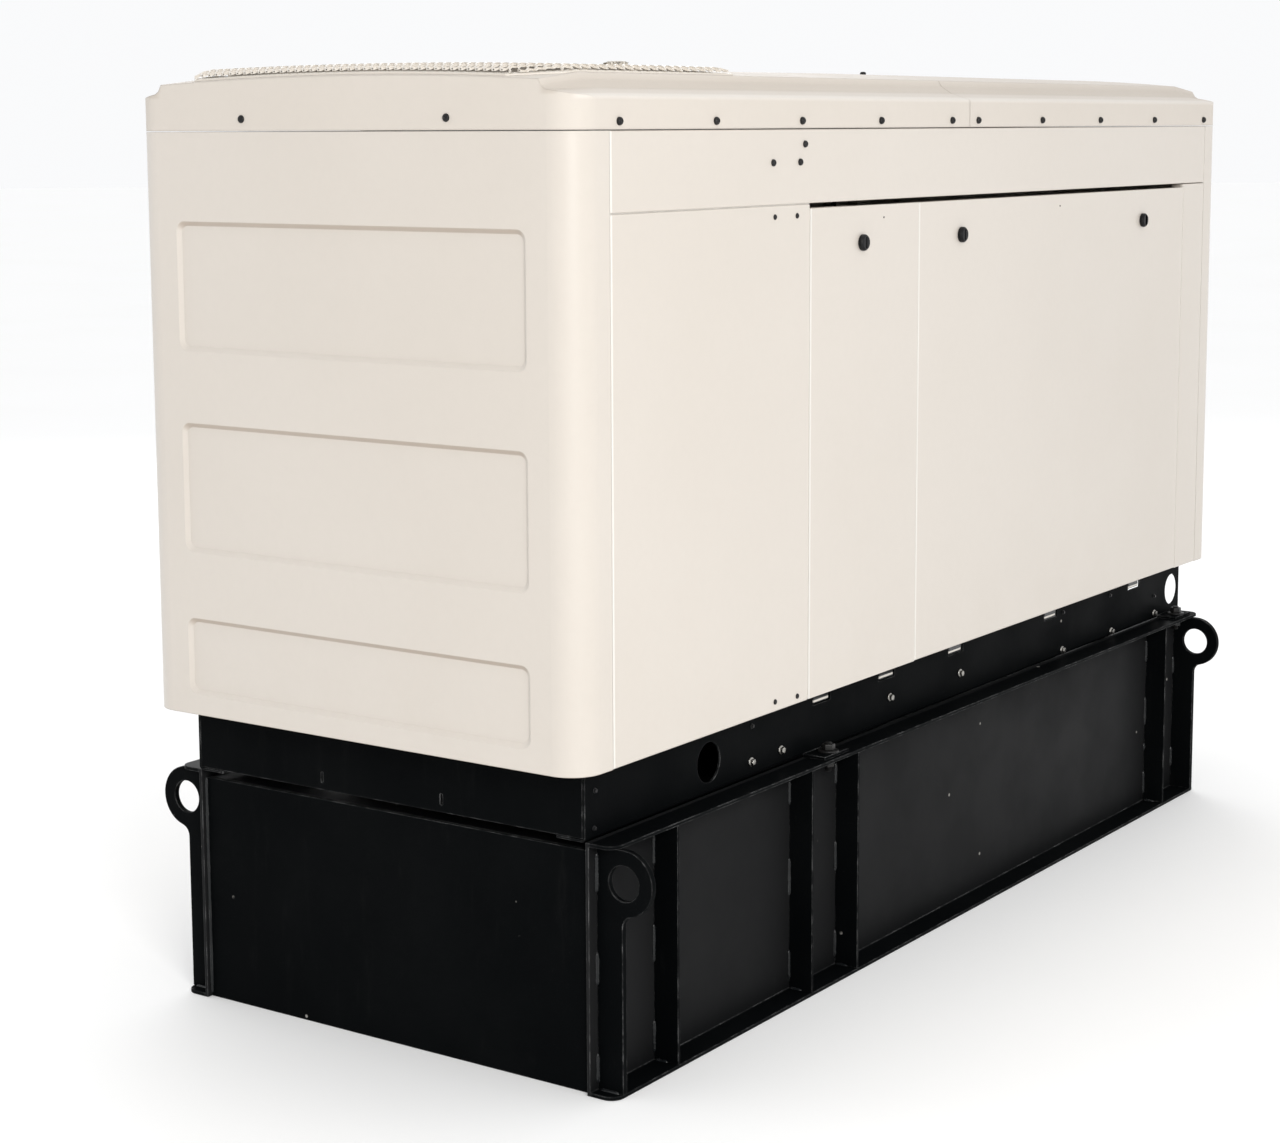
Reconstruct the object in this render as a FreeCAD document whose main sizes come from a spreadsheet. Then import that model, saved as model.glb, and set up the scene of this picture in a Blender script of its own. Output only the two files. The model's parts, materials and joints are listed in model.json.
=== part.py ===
import FreeCAD, Part
import math
import os
import re
import Sketcher
from FreeCAD import Placement, Rotation, Vector as V

# Standby generator set: steel sub-base fuel tank, formed steel skid, diesel
# engine with alternator and radiator, and a sheet sound enclosure with lift-off
# side doors.  Millimetres.  +Z up, origin on the floor at the middle of the set.
# -X is the radiator (air outlet) end, +X the air intake end, -Y the service side.

doc = FreeCAD.newDocument("StandbyGenerator")
sheet = doc.addObject("Spreadsheet::Sheet", "Spec")

DIMS = [
    # enclosure
    ("enc_hx", 1363), ("enc_hy", 508), ("z_enc", 591), ("z_head", 1541), ("z_seam", 1680),
    ("z_skirt", 1730), ("skin", 3), ("cap_len", 96), ("corner_rad", 60), ("seam_gap", 1.5),
    ("door_x_a", -620), ("door_x_b", -197), ("door_x_c", 1142), ("slot_gap", 10),
    ("door_deep", 32), ("header_deep", 30), ("roof_split_x", 18), ("roof_wall", 4),
    ("lip_z", 1776), ("crown_a", 1790.5), ("crown_b", 1794), ("crown_z", 1798), ("crown_d", 1797),
    ("end_lip_z", 1759), ("end_crown_z", 1775),
    ("recess_hy", 403), ("recess_deep", 7), ("recess_round", 19),
    ("rec_a_lo", 1278), ("rec_a_hi", 1516), ("rec_b_lo", 902), ("rec_b_hi", 1144),
    ("rec_c_lo", 631), ("rec_c_hi", 776),
    ("grille_xa", -1349), ("grille_xb", -765), ("grille_hy", 424), ("grille_cut", 70),
    # fuel tank
    ("tank_hx", 1283), ("tank_hy", 465), ("tank_z", 458), ("flange_out", 54), ("flange_t", 7),
    ("end_inset", 12), ("deck_z", 441), ("gusset_t", 6), ("foot_round", 26),
    ("gus_a", -1082), ("gus_b", -615), ("gus_c", -438), ("gus_d", 1082),
    ("lug_x", 1254), ("lug_t", 12), ("lug_y", 523), ("lug_z", 389), ("lug_outer", 60),
    ("lug_hole", 31.75),
    # skid
    ("skid_hx", 1286), ("skid_hy", 460), ("rail_t", 5), ("rail_flange", 62),
    ("lift_hole", 38), ("lift_z", 519), ("lift_xa", -895), ("lift_xb", 1239),
    # engine and alternator
    ("crank_z", 850), ("shaft_r", 34), ("fan_z", 1060), ("belt_x", -545), ("belt_w", 20),
    ("crank_pul", 80), ("fan_pul", 65), ("alt_pul", 32), ("alt_y", 245), ("alt_z", 985),
    ("blk_xa", -500), ("blk_xb", 60), ("blk_hy", 165), ("blk_za", 770), ("blk_zb", 1080),
    ("gen_xa", 160), ("gen_xb", 700), ("gen_r", 212), ("bore_r", 150),
    ("rad_xa", -742), ("rad_xb", -672), ("rad_hy", 400), ("rad_za", 650), ("rad_zb", 1540),
    ("fan_r", 318), ("fan_x", -622),
    ("run_gap", 0.05), ("body_gap", 0.4),
]
for row, (alias, value) in enumerate(DIMS, start=1):
    sheet.set("A%d" % row, alias)
    sheet.set("B%d" % row, str(value))
    sheet.setAlias("B%d" % row, alias)
doc.recompute()
D = {alias: float(getattr(sheet, alias)) for alias, _ in DIMS}
ALIAS = re.compile(r"\b(" + "|".join(sorted(D, key=len, reverse=True)) + r")\b")


def val(e):
    """Number for an expression written with the sheet's names (+ - * / only)."""
    if isinstance(e, (int, float)):
        return float(e)
    toks = re.findall(r"[A-Za-z_]+|\d+\.?\d*|[-+*/()]", e)
    pos = [0]

    def peek():
        return toks[pos[0]] if pos[0] < len(toks) else None

    def atom():
        t = toks[pos[0]]
        pos[0] += 1
        if t == "(":
            v = add()
            pos[0] += 1
            return v
        if t == "-":
            return -atom()
        if t == "+":
            return atom()
        return D[t] if t in D else float(t)

    def mul():
        v = atom()
        while peek() in ("*", "/"):
            op = toks[pos[0]]
            pos[0] += 1
            w = atom()
            v = v * w if op == "*" else v / w
        return v

    def add():
        v = mul()
        while peek() in ("+", "-"):
            op = toks[pos[0]]
            pos[0] += 1
            w = mul()
            v = v + w if op == "+" else v - w
        return v
    return add()


def has_name(e):
    return isinstance(e, str) and ALIAS.search(e) is not None


def bind(obj, prop, e):
    """Set a property from a number, or bind it to the sheet."""
    if has_name(e):
        obj.setExpression(prop, ALIAS.sub(r"Spec.\1", e))
        return
    v = val(e)
    if prop.startswith("Placement.Base."):
        pl = obj.Placement
        setattr(pl.Base, prop[-1], v)
        obj.Placement = pl
    else:
        setattr(obj, prop, v)


ROT = {"Z": Rotation(), "X": Rotation(V(0, 1, 0), 90), "Y": Rotation(V(1, 0, 0), -90),
       "yz": Rotation(V(1, 1, 1), 120), "xz": Rotation(V(1, 0, 0), 90)}
PARTS = {}
count = [0]


def uid(tag):
    count[0] += 1
    return "%s_%03d" % (tag, count[0])


def place(o, at, rot="Z"):
    o.Placement = Placement(V(0, 0, 0), rot if isinstance(rot, Rotation) else ROT[rot])
    for ax, e in zip("xyz", at):
        bind(o, "Placement.Base." + ax, e)
    return o


def box(x0, x1, y0, y1, z0, z1, tag="block"):
    o = doc.addObject("Part::Box", uid(tag))
    for prop, a, b in (("Length", x0, x1), ("Width", y0, y1), ("Height", z0, z1)):
        bind(o, prop, "(%s)-(%s)" % (b, a))
    return place(o, (x0, y0, z0))


def cyl(r, length, at, axis="Z", tag="round"):
    o = doc.addObject("Part::Cylinder", uid(tag))
    bind(o, "Radius", r)
    bind(o, "Height", length)
    return place(o, at, axis)


def fuse(*objs):
    if len(objs) == 1:
        return objs[0]
    o = doc.addObject("Part::MultiFuse", uid("joined"))
    o.Shapes = list(objs)
    o.Refine = True
    return o


def cut(base, *tools):
    o = doc.addObject("Part::Cut", uid("cut"))
    o.Base = base
    o.Tool = fuse(*tools)
    o.Refine = True
    return o


def group(*objs):
    o = doc.addObject("Part::Compound", uid("set"))
    o.Links = list(objs)
    return o


def mirror(obj, normal):
    o = doc.addObject("Part::Mirroring", uid("mirror"))
    o.Source = obj
    o.Normal = V(*normal)
    o.Base = V(0, 0, 0)
    return o


def fillet(obj, r, pick):
    """Round every edge of obj that pick accepts."""
    doc.recompute()
    o = doc.addObject("Part::Fillet", uid("rounded"))
    o.Base = obj
    rr = val(r)
    o.Edges = [(i, rr, rr) for i, e in enumerate(obj.Shape.Edges, start=1) if pick(e)]
    return o


def along(e, axis, **limits):
    """True for a straight edge along an axis whose middle lies within limits."""
    if len(e.Vertexes) != 2 or e.Curve.TypeId != "Part::GeomLine":
        return False
    d = e.Vertexes[1].Point - e.Vertexes[0].Point
    v = {"x": abs(d.x), "y": abs(d.y), "z": abs(d.z)}
    if v[axis] < 0.999 * d.Length:
        return False
    c = e.CenterOfMass
    m = {"x": c.x, "y": c.y, "z": c.z}
    return all(lo <= m[k] <= hi for k, (lo, hi) in limits.items())


def outline(body, role, pts, holes=()):
    """Closed sketch on a plane of the body, each corner bound to the sheet."""
    sk = body.newObject("Sketcher::SketchObject", uid("Sketch"))
    plane = [f for f in body.Origin.OriginFeatures if f.Role == role][0]
    sk.AttachmentSupport = [(plane, "")]
    sk.MapMode = "FlatFace"
    n = len(pts)
    xy = [V(val(a), val(b), 0) for a, b in pts]
    for i in range(n):
        sk.addGeometry(Part.LineSegment(xy[i], xy[(i + 1) % n]), False)
    for i in range(n):
        sk.addConstraint(Sketcher.Constraint("Coincident", i, 2, (i + 1) % n, 1))
    for i, (a, b) in enumerate(pts):
        for kind, axis_id, e, v in (("DistanceX", -2, a, xy[i].x), ("DistanceY", -1, b, xy[i].y)):
            if abs(v) < 1e-9:
                sk.addConstraint(Sketcher.Constraint("PointOnObject", i, 1, axis_id))
            else:
                k = sk.addConstraint(Sketcher.Constraint(kind, -1, 1, i, 1, v))
                if has_name(e):
                    sk.setExpression("Constraints[%d]" % k, ALIAS.sub(r"Spec.\1", e))
    for a, b, r in holes:
        g = sk.addGeometry(Part.Circle(V(val(a), val(b), 0), V(0, 0, 1), val(r)), False)
        for kind, e in (("DistanceX", a), ("DistanceY", b)):
            k = sk.addConstraint(Sketcher.Constraint(kind, -1, 1, g, 3, val(e)))
            if has_name(e):
                sk.setExpression("Constraints[%d]" % k, ALIAS.sub(r"Spec.\1", e))
        k = sk.addConstraint(Sketcher.Constraint("Radius", g, val(r)))
        if has_name(r):
            sk.setExpression("Constraints[%d]" % k, ALIAS.sub(r"Spec.\1", r))
    return sk


def padded(pts, length, at, rot="Z", holes=(), both=False):
    """Body: an outline padded by length."""
    body = doc.addObject("PartDesign::Body", uid("Body"))
    sk = outline(body, "XY_Plane", pts, holes)
    pad = body.newObject("PartDesign::Pad", uid("Pad"))
    pad.Profile = sk
    bind(pad, "Length", length)
    if both:
        if "SideType" in pad.PropertiesList:
            pad.SideType = "Symmetric"
        else:
            pad.Midplane = True
    body.Tip = pad
    return place(body, at, rot)


def turned(pts, at, axis="Z"):
    """Body: an outline of (radius, height) points turned about its axis."""
    body = doc.addObject("PartDesign::Body", uid("Body"))
    sk = outline(body, "XZ_Plane", pts)
    rev = body.newObject("PartDesign::Revolution", uid("Turned"))
    rev.Profile = sk
    rev.ReferenceAxis = (sk, ["V_Axis"])
    rev.Angle = 360
    body.Tip = rev
    return place(body, at, axis)


def shape_feature(shape, tag="form"):
    o = doc.addObject("Part::Feature", uid(tag))
    o.Shape = shape
    return o


def pipe(points, r, bend, inner=None):
    """Round tube along straight runs joined by tangent arcs."""
    p = [V(*q) for q in points]
    edges = []
    last = p[0]
    for i in range(1, len(p) - 1):
        u = (p[i - 1] - p[i]).normalize()
        w = (p[i + 1] - p[i]).normalize()
        half = math.acos(max(-1, min(1, u.dot(w)))) / 2
        t = bend / math.tan(half)
        a = p[i] + u * t
        b = p[i] + w * t
        m = p[i] + (u + w).normalize() * (bend / math.sin(half) - bend)
        if (a - last).Length > 1e-6:
            edges.append(Part.LineSegment(last, a).toShape())
        edges.append(Part.Arc(a, m, b).toShape())
        last = b
    edges.append(Part.LineSegment(last, p[-1]).toShape())
    wire = Part.Wire(edges)
    d0 = (p[1] - p[0]).normalize()

    def swept(rad):
        prof = Part.Wire([Part.makeCircle(rad, p[0], d0)])
        return wire.makePipeShell([prof], True, False)
    s = swept(r)
    if inner:
        s = s.cut(swept(inner))
    return s


def keep(name, obj):
    obj.Label = name
    PARTS[name] = obj
    return obj


def hexbolt(at, out, af=16, head=8, washer=13, wt=2.5):
    """Hexagon flange bolt head on a washer; out is the direction it faces."""
    r = af / math.sqrt(3)
    pts = [(r * math.cos(math.radians(60 * i)), r * math.sin(math.radians(60 * i))) for i in range(6)]
    rot = Rotation(V(0, 0, 1), V(*out))
    b = padded(pts, head, (at[0], at[1], at[2]), rot)
    w = cyl(washer, wt, at, rot)
    return fuse(b, w)


# ---------------------------------------------------------------- fuel tank
fl = [("tank_hy+flange_out", 0), ("tank_hy+flange_out", "flange_t"), ("tank_hy", "flange_t"),
      ("tank_hy", "tank_z-flange_t"), ("tank_hy+flange_out", "tank_z-flange_t"),
      ("tank_hy+flange_out", "tank_z"), ("tank_hy-flange_t", "tank_z"), ("tank_hy-flange_t", 0)]
chan = padded(fl, "2*tank_hx", ("-tank_hx", 0, 0), "yz")
out_y = val("tank_hy+flange_out")
chan = fillet(chan, "foot_round", lambda e: along(e, "z", y=(out_y - 1, out_y + 1)))
chan = cut(chan, *[cyl(8.5, 30, (x, "skid_hy+30", "tank_z-20")) for x in (-512, 1200)])
keep("tank_side_channels", group(chan, mirror(chan, (0, 1, 0))))
endp = box("-tank_hx+end_inset", "-tank_hx+end_inset+6", "-tank_hy+flange_t+0.2", "tank_hy-flange_t-0.2", 0, "deck_z")
keep("tank_end_panels", group(endp, mirror(endp, (1, 0, 0))))
tank = cut(box("-tank_hx+end_inset+7", "tank_hx-end_inset-7", "-tank_hy+flange_t+0.5", "tank_hy-flange_t-0.5", 12, "deck_z"),
           box("-tank_hx+end_inset+11", "tank_hx-end_inset-11", "-tank_hy+flange_t+4.5", "tank_hy-flange_t-4.5", 16, "deck_z-5"),
           cyl(25.4, 40, (1100, -330, "deck_z-20")))
keep("tank_shell", tank)
gus = []
for gx in ("gus_a", "gus_b", "gus_c", "gus_d"):
    g = padded([("tank_hy", "flange_t"), ("tank_hy+flange_out-1", "flange_t"),
                ("tank_hy+flange_out-1", "tank_z-flange_t"), ("tank_hy", "tank_z-flange_t")],
               "gusset_t", (gx + "-gusset_t/2", 0, 0), "yz")
    gus += [g, mirror(g, (0, 1, 0))]
keep("tank_gussets", group(*gus))

# lifting lug: plate with an eye that stands out of the flanges, blended neck
r1, r2, cy, cz, ey = D["lug_outer"], 22.0, D["lug_y"], D["lug_z"], val("tank_hy+flange_out+1")
fy = ey + r2
fz = cz - math.sqrt((r1 + r2) ** 2 - (fy - cy) ** 2)
tq = V(cy + (fy - cy) * r1 / (r1 + r2), cz + (fz - cz) * r1 / (r1 + r2), 0)
zf, zt, yw = D["flange_t"], cz + r1, D["tank_hy"]
c0 = V(fy, fz, 0)
mid_f = c0 + (((V(ey, fz, 0) - c0).normalize() + (tq - c0).normalize()).normalize() * r2)
seg = [Part.LineSegment(V(yw, zf, 0), V(ey, zf, 0)), Part.LineSegment(V(ey, zf, 0), V(ey, fz, 0)),
       Part.Arc(V(ey, fz, 0), mid_f, tq), Part.Arc(tq, V(cy + r1, cz, 0), V(cy, zt, 0)),
       Part.LineSegment(V(cy, zt, 0), V(yw, zt, 0)), Part.LineSegment(V(yw, zt, 0), V(yw, zf, 0))]
lugw = Part.Wire([s.toShape() for s in seg])
lugs = Part.Face([lugw, Part.Wire(Part.makeCircle(D["lug_hole"], V(cy, cz, 0)))])
lugs.validate()
plate = lugs.extrude(V(0, 0, D["lug_t"]))
plate.Placement = Placement(V(D["lug_x"] - D["lug_t"] / 2, 0, 0), ROT["yz"])
eye_edges = [i for i, e in enumerate(plate.Edges) if e.Curve.TypeId == "Part::GeomCircle"]
plate = plate.makeChamfer(1.2, [plate.Edges[i] for i in eye_edges if abs(plate.Edges[i].Curve.Radius - D["lug_hole"]) < 0.1])
lg = shape_feature(plate, "lug")
lgm = mirror(lg, (0, 1, 0))
keep("lifting_lugs", group(lg, lgm, mirror(lg, (1, 0, 0)), mirror(lgm, (1, 0, 0))))

# ---------------------------------------------------------------- skid
rail_pts = [("skid_hy", "tank_z"), ("skid_hy", "z_enc"), ("skid_hy-rail_flange", "z_enc"),
            ("skid_hy-rail_flange", "z_enc-rail_t"), ("skid_hy-rail_t", "z_enc-rail_t"),
            ("skid_hy-rail_t", "tank_z+rail_t"), ("skid_hy-rail_flange", "tank_z+rail_t"),
            ("skid_hy-rail_flange", "tank_z")]
rail = padded(rail_pts, "2*skid_hx", ("-skid_hx", 0, 0), "yz")
hy0, hz0, hz1 = D["skid_hy"], D["tank_z"], D["z_enc"]
rail = fillet(rail, 8, lambda e: along(e, "x", y=(hy0 - 1, hy0 + 1)))
TABS = [-488, -226, 77, 544, 1009]
FEET = [-512, 1200]
tools = [cyl("lift_hole", 40, (x, "skid_hy-20", "lift_z"), "Y") for x in ("lift_xa", "lift_xb")]
tools += [box(x - 34, x + 34, "skid_hy-24", "skid_hy+5", 555, "z_enc+5") for x in TABS]
rail = cut(rail, *tools)
feet = [cut(box(x - 46, x + 46, "skid_hy-1", "skid_hy+50", "tank_z", "tank_z+7"),
            cyl(8.5, 20, (x, "skid_hy+30", "tank_z-5"))) for x in FEET]
rail = fuse(rail, *feet)
keep("skid_rails", group(rail, mirror(rail, (0, 1, 0))))
ep = box("-skid_hx", "-skid_hx+5", "-skid_hy+rail_t+0.5", "skid_hy-rail_t-0.5", "tank_z+6", "z_enc-6")
ep = cut(ep, *[box("-skid_hx-3", "-skid_hx+9", y - 2.5, y + 2.5, 478, 498) for y in (144, -141)])
cms = []
for x in (-730, -300, 0, 430, 910):
    c = padded([("-skid_hy+rail_t+0.5", 0), ("skid_hy-rail_t-0.5", 0), ("skid_hy-rail_t-0.5", 60), ("-skid_hy+rail_t+0.5", 60)],
               70, (x - 35, 0, 525), "yz")
    cms.append(cut(c, box(x - 30, x + 30, -470, 470, 530, 580)))
# cross members are box sections notched under the rail flanges
cms = [cut(c, box(-1400, 1400, "skid_hy-rail_flange-1", 500, 584.8, 620),
           box(-1400, 1400, -500, "-skid_hy+rail_flange+1", 584.8, 620)) for c in cms]
keep("skid_cross_members", group(ep, *cms))

# bolts on the outside of the rails, and the bolts that hold the skid to the tank
WEB = [(-749, 489), (-641, 490), (-212, 513), (98, 508), (607, 471), (880, 470), (1135, 473),
       (-1256, 545), (-1259, 478), (-746, 558), (869, 560), (609, 560), (1133, 517)]
bolts = []
for i, (x, z) in enumerate(WEB):
    small = i >= 7
    for s in (-1, 1):
        bolts.append(hexbolt((x, s * D["skid_hy"], z), (0, s, 0), 9 if small else 15,
                             4 if small else 8, 6 if small else 12, 1 if small else 2.5))
for x in FEET:
    for s in (-1, 1):
        y = s * (D["skid_hy"] + 30)
        top = hexbolt((x, y, D["tank_z"] + 7), (0, 0, 1), 24, 13, 21, 4)
        low = hexbolt((x, y, D["tank_z"] - D["flange_t"]), (0, 0, -1), 24, 14, 19, 3)
        stud = cyl(7.5, 26, (x, y, D["tank_z"] - D["flange_t"] - 24))
        bolts.append(fuse(top, stud))
        bolts[-1] = fuse(bolts[-1], low, cyl(7.5, 30, (x, y, D["tank_z"] - D["flange_t"] - 4)))
keep("base_bolts", group(*bolts))

# ---------------------------------------------------------------- enclosure ends
def round_rect(x, hy, z0, z1, r):
    """Rounded rectangle wire in the YZ plane at x."""
    e = []
    k = r * (1 - math.sqrt(0.5))
    P = lambda y, z: V(x, y, z)
    e.append(Part.LineSegment(P(-hy + r, z0), P(hy - r, z0)))
    e.append(Part.Arc(P(hy - r, z0), P(hy - k, z0 + k), P(hy, z0 + r)))
    e.append(Part.LineSegment(P(hy, z0 + r), P(hy, z1 - r)))
    e.append(Part.Arc(P(hy, z1 - r), P(hy - k, z1 - k), P(hy - r, z1)))
    e.append(Part.LineSegment(P(hy - r, z1), P(-hy + r, z1)))
    e.append(Part.Arc(P(-hy + r, z1), P(-hy + k, z1 - k), P(-hy, z1 - r)))
    e.append(Part.LineSegment(P(-hy, z1 - r), P(-hy, z0 + r)))
    e.append(Part.Arc(P(-hy, z0 + r), P(-hy + k, z0 + k), P(-hy + r, z0)))
    return Part.Wire([s.toShape() for s in e])


def dish(lo, hi, grow):
    """Pressed recess with sloping sides, open at the end face."""
    hx, dp, hy, r, sl = D["enc_hx"], D["recess_deep"], D["recess_hy"], D["recess_round"], 8.0
    x0, x1 = -hx - 1, -hx + dp + grow
    f = (dp + 1) / dp
    a = round_rect(x0, hy + grow + sl * (f - 1), lo - grow - sl * (f - 1), hi + grow + sl * (f - 1), r + grow)
    b = round_rect(x1, hy - sl + grow, lo + sl - grow, hi - sl + grow, r - sl / 2 + grow)
    return Part.makeLoft([a, b], True, True)


wall = D["skin"]
REC = [("rec_a_lo", "rec_a_hi"), ("rec_b_lo", "rec_b_hi"), ("rec_c_lo", "rec_c_hi")]
xe = -D["enc_hx"]


def end_shell():
    outer = fillet(box("-enc_hx", "-enc_hx+cap_len-seam_gap/2", "-enc_hy", "enc_hy", "z_enc", "z_seam-seam_gap"),
                   "corner_rad", lambda e: along(e, "z", x=(xe - 1, xe + 1)))
    inner = fillet(box("-enc_hx+skin", "-enc_hx+cap_len+20", "-enc_hy+skin", "enc_hy-skin", "z_enc-10", "z_seam+10"),
                   "corner_rad-skin", lambda e: along(e, "z", x=(xe, xe + 5)))
    outer = cut(outer, *[shape_feature(dish(D[a], D[b], 0), "recess") for a, b in REC])
    inner = cut(inner, *[shape_feature(dish(D[a], D[b], wall), "recess_back") for a, b in REC])
    return cut(outer, inner)


keep("end_cap_front", end_shell())
# the intake end carries louvre slots in its lower two pressed panels
louvres = []
for lo, hi in (("rec_b_lo", "rec_b_hi"), ("rec_c_lo", "rec_c_hi")):
    z = val(lo) + 34
    while z < val(hi) - 26:
        for y in (-345, -115, 115):
            louvres.append(box("-enc_hx-5", "-enc_hx+30", y, y + 205, z, z + 9))
        z += 24
rear = cut(end_shell(), *louvres)
keep("end_cap_rear", mirror(rear, (1, 0, 0)))

# ---------------------------------------------------------------- side panels
def pan(x0, x1, z0, z1, deep="door_deep"):
    """Sheet pan on the -Y side with its edges turned inwards."""
    return cut(box(x0, x1, "-enc_hy", "-enc_hy+(%s)" % deep, z0, z1),
               box("(%s)+skin" % x0, "(%s)-skin" % x1, "-enc_hy+skin", "-enc_hy+(%s)+10" % deep,
                   "(%s)+skin" % z0, "(%s)-skin" % z1))


fixed = []
for a, b in (("-enc_hx+cap_len+seam_gap/2", "door_x_a-seam_gap/2"), ("door_x_c+seam_gap/2", "enc_hx-cap_len-seam_gap/2")):
    p = pan(a, b, "z_enc", "z_head-seam_gap")
    fixed += [p, mirror(p, (0, 1, 0))]
keep("fixed_side_panels", group(*fixed))
hd = pan("-enc_hx+cap_len+seam_gap/2", "enc_hx-cap_len-seam_gap/2", "z_head", "z_seam-seam_gap", "header_deep")
keep("header_rails", group(hd, mirror(hd, (0, 1, 0))))

LATCH = {"small": [-425], "large": [-15, 899]}
LATCH_Z = 1460
TAB_OF = {"small": [-488, -226], "large": [77, 544, 1009]}


def door(kind):
    a, b = {"small": ("door_x_a", "door_x_b"), "large": ("door_x_b", "door_x_c")}[kind]
    p = pan(a + "+seam_gap/2", b + "-seam_gap/2", "z_enc+seam_gap", "z_head-slot_gap")
    tabs = [box(x - 28, x + 28, -458, -454, 558, 600) for x in TAB_OF[kind]]
    arms = [box(x - 28, x + 28, -478, -454, "z_enc+seam_gap", "z_enc+seam_gap+skin") for x in TAB_OF[kind]]
    holes = [cyl(6.5, 12, (x, -512, LATCH_Z), "Y") for x in LATCH[kind]]
    return cut(fuse(p, *(tabs + arms)), *holes)


for kind in ("small", "large"):
    dr = door(kind)
    keep("%s_door_left" % kind, dr)
    keep("%s_door_right" % kind, mirror(door(kind), (0, 1, 0)))


def latch(x):
    """Round quarter-turn latch: knob outside, spindle through the skin, pawl inside."""
    knob = turned([(0, 0), (6, 0), (6, 6), (6, 6.3), (15.5, 6.3), (16, 7), (16, 13), (13, 16.5), (0, 16.5)],
                  (x, "-enc_hy+6", LATCH_Z), Rotation(V(1, 0, 0), 90))
    knob = cut(knob, box(x - 2.2, x + 2.2, -522, -516, LATCH_Z - 11, LATCH_Z + 11))
    spin = cyl(6, 22, (x, "-enc_hy+24", LATCH_Z), Rotation(V(1, 0, 0), 90))
    pawl = box(x - 9, x + 9, "-enc_hy+19", "-enc_hy+23", LATCH_Z - 10, "z_head-slot_gap-5")
    return fuse(knob, spin, pawl)


k = 0
for kind in ("small", "large"):
    for x in LATCH[kind]:
        k += 1
        keep("latch_left_%d" % k, latch(x))
        keep("latch_right_%d" % k, mirror(latch(x), (0, 1, 0)))

# ---------------------------------------------------------------- roof
def roof_wire(x, lip_y, lip_z, crown, foot, inset):
    """Closed cross-section of the roof at x: skirt, shoulder, ledge, riser, lip, crown."""
    hy, zs, w = D["enc_hy"] - inset, D["z_skirt"], inset
    half = [(hy, zs - w * 0.4), (hy - 2.3, zs + 5.7 - w), (hy - 8, zs + 8 - w), (foot[0] - w * 0.6, foot[1] - w),
            (lip_y + 7 - w * 0.6, lip_z - 12 - w), (lip_y - w * 0.8, lip_z - w)]
    z0 = D["z_seam"] if inset == 0 else D["z_seam"] - 20
    P = lambda y, z: V(x, y, z)
    pos = [P(y, z) for y, z in half]
    neg = [P(-y, z) for y, z in half]
    e = [Part.LineSegment(P(-hy, z0), P(hy, z0)), Part.LineSegment(P(hy, z0), pos[0]),
         Part.Arc(pos[0], pos[1], pos[2]), Part.LineSegment(pos[2], pos[3]),
         Part.LineSegment(pos[3], pos[4]), Part.LineSegment(pos[4], pos[5]),
         Part.Arc(pos[5], P(0, crown - w), neg[5]),
         Part.LineSegment(neg[5], neg[4]), Part.LineSegment(neg[4], neg[3]), Part.LineSegment(neg[3], neg[2]),
         Part.Arc(neg[2], neg[1], neg[0]), Part.LineSegment(neg[0], P(-hy, z0))]
    return Part.Wire([s.toShape() for s in e])


def roof_solid(inset):
    hx = D["enc_hx"]
    x0 = hx - inset
    xm = hx - 115
    end = lambda x: roof_wire(x, 432, D["end_lip_z"] + 5, D["end_crown_z"], (447, 1747), inset)
    mid = lambda x, crown: roof_wire(x, 433, D["lip_z"], crown, (462, 1750), inset)
    ws = [end(-x0), mid(-xm, D["crown_a"]), mid(-700, D["crown_b"]), mid(60, D["crown_z"]), mid(xm, D["crown_d"]), end(x0)]
    parts = [Part.makeLoft([a, b], True, True) for a, b in zip(ws, ws[1:])]
    s = parts[0].fuse(parts[1:]).removeSplitter()
    r = D["corner_rad"] - inset
    b = Part.makeBox(2 * (hx - inset), 2 * (D["enc_hy"] - inset), 300, V(-(hx - inset), -(D["enc_hy"] - inset), 1600))
    b = b.makeFillet(r, [e for e in b.Edges if along(e, "z")])
    return s.common(b)


outer_roof = roof_solid(0)
inner_roof = roof_solid(D["roof_wall"])
shell = outer_roof.cut(inner_roof)
gx0, gx1, gy, gc = D["grille_xa"], D["grille_xb"], D["grille_hy"], D["grille_cut"]


def grille_plan(off):
    a, b, y, c = gx0 - off, gx1 + off, gy + off, gc + off * 0.4
    p = [V(a, -y + c, 1600), V(a + c, -y, 1600), V(b, -y, 1600), V(b, y, 1600), V(a + c, y, 1600), V(a, y - c, 1600)]
    return Part.Face(Part.makePolygon(p + [p[0]])).extrude(V(0, 0, 400))


hole = grille_plan(-16)
sp, g2 = D["roof_split_x"], D["seam_gap"] / 2
front_half = Part.makeBox(D["enc_hx"] + 20 + sp - g2, 1200, 400, V(-D["enc_hx"] - 20, -600, 1600))
rear_half = Part.makeBox(D["enc_hx"] + 20 - sp - g2, 1200, 400, V(sp + g2, -600, 1600))
fill_x, fill_y = -700.0, -122.0
rf = shell.cut(hole).common(front_half).cut(Part.makeCylinder(17, 60, V(fill_x, fill_y, 1770)))
keep("roof_front", shape_feature(rf, "roof_a"))
keep("roof_rear", shape_feature(shell.common(rear_half), "roof_b"))

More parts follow.
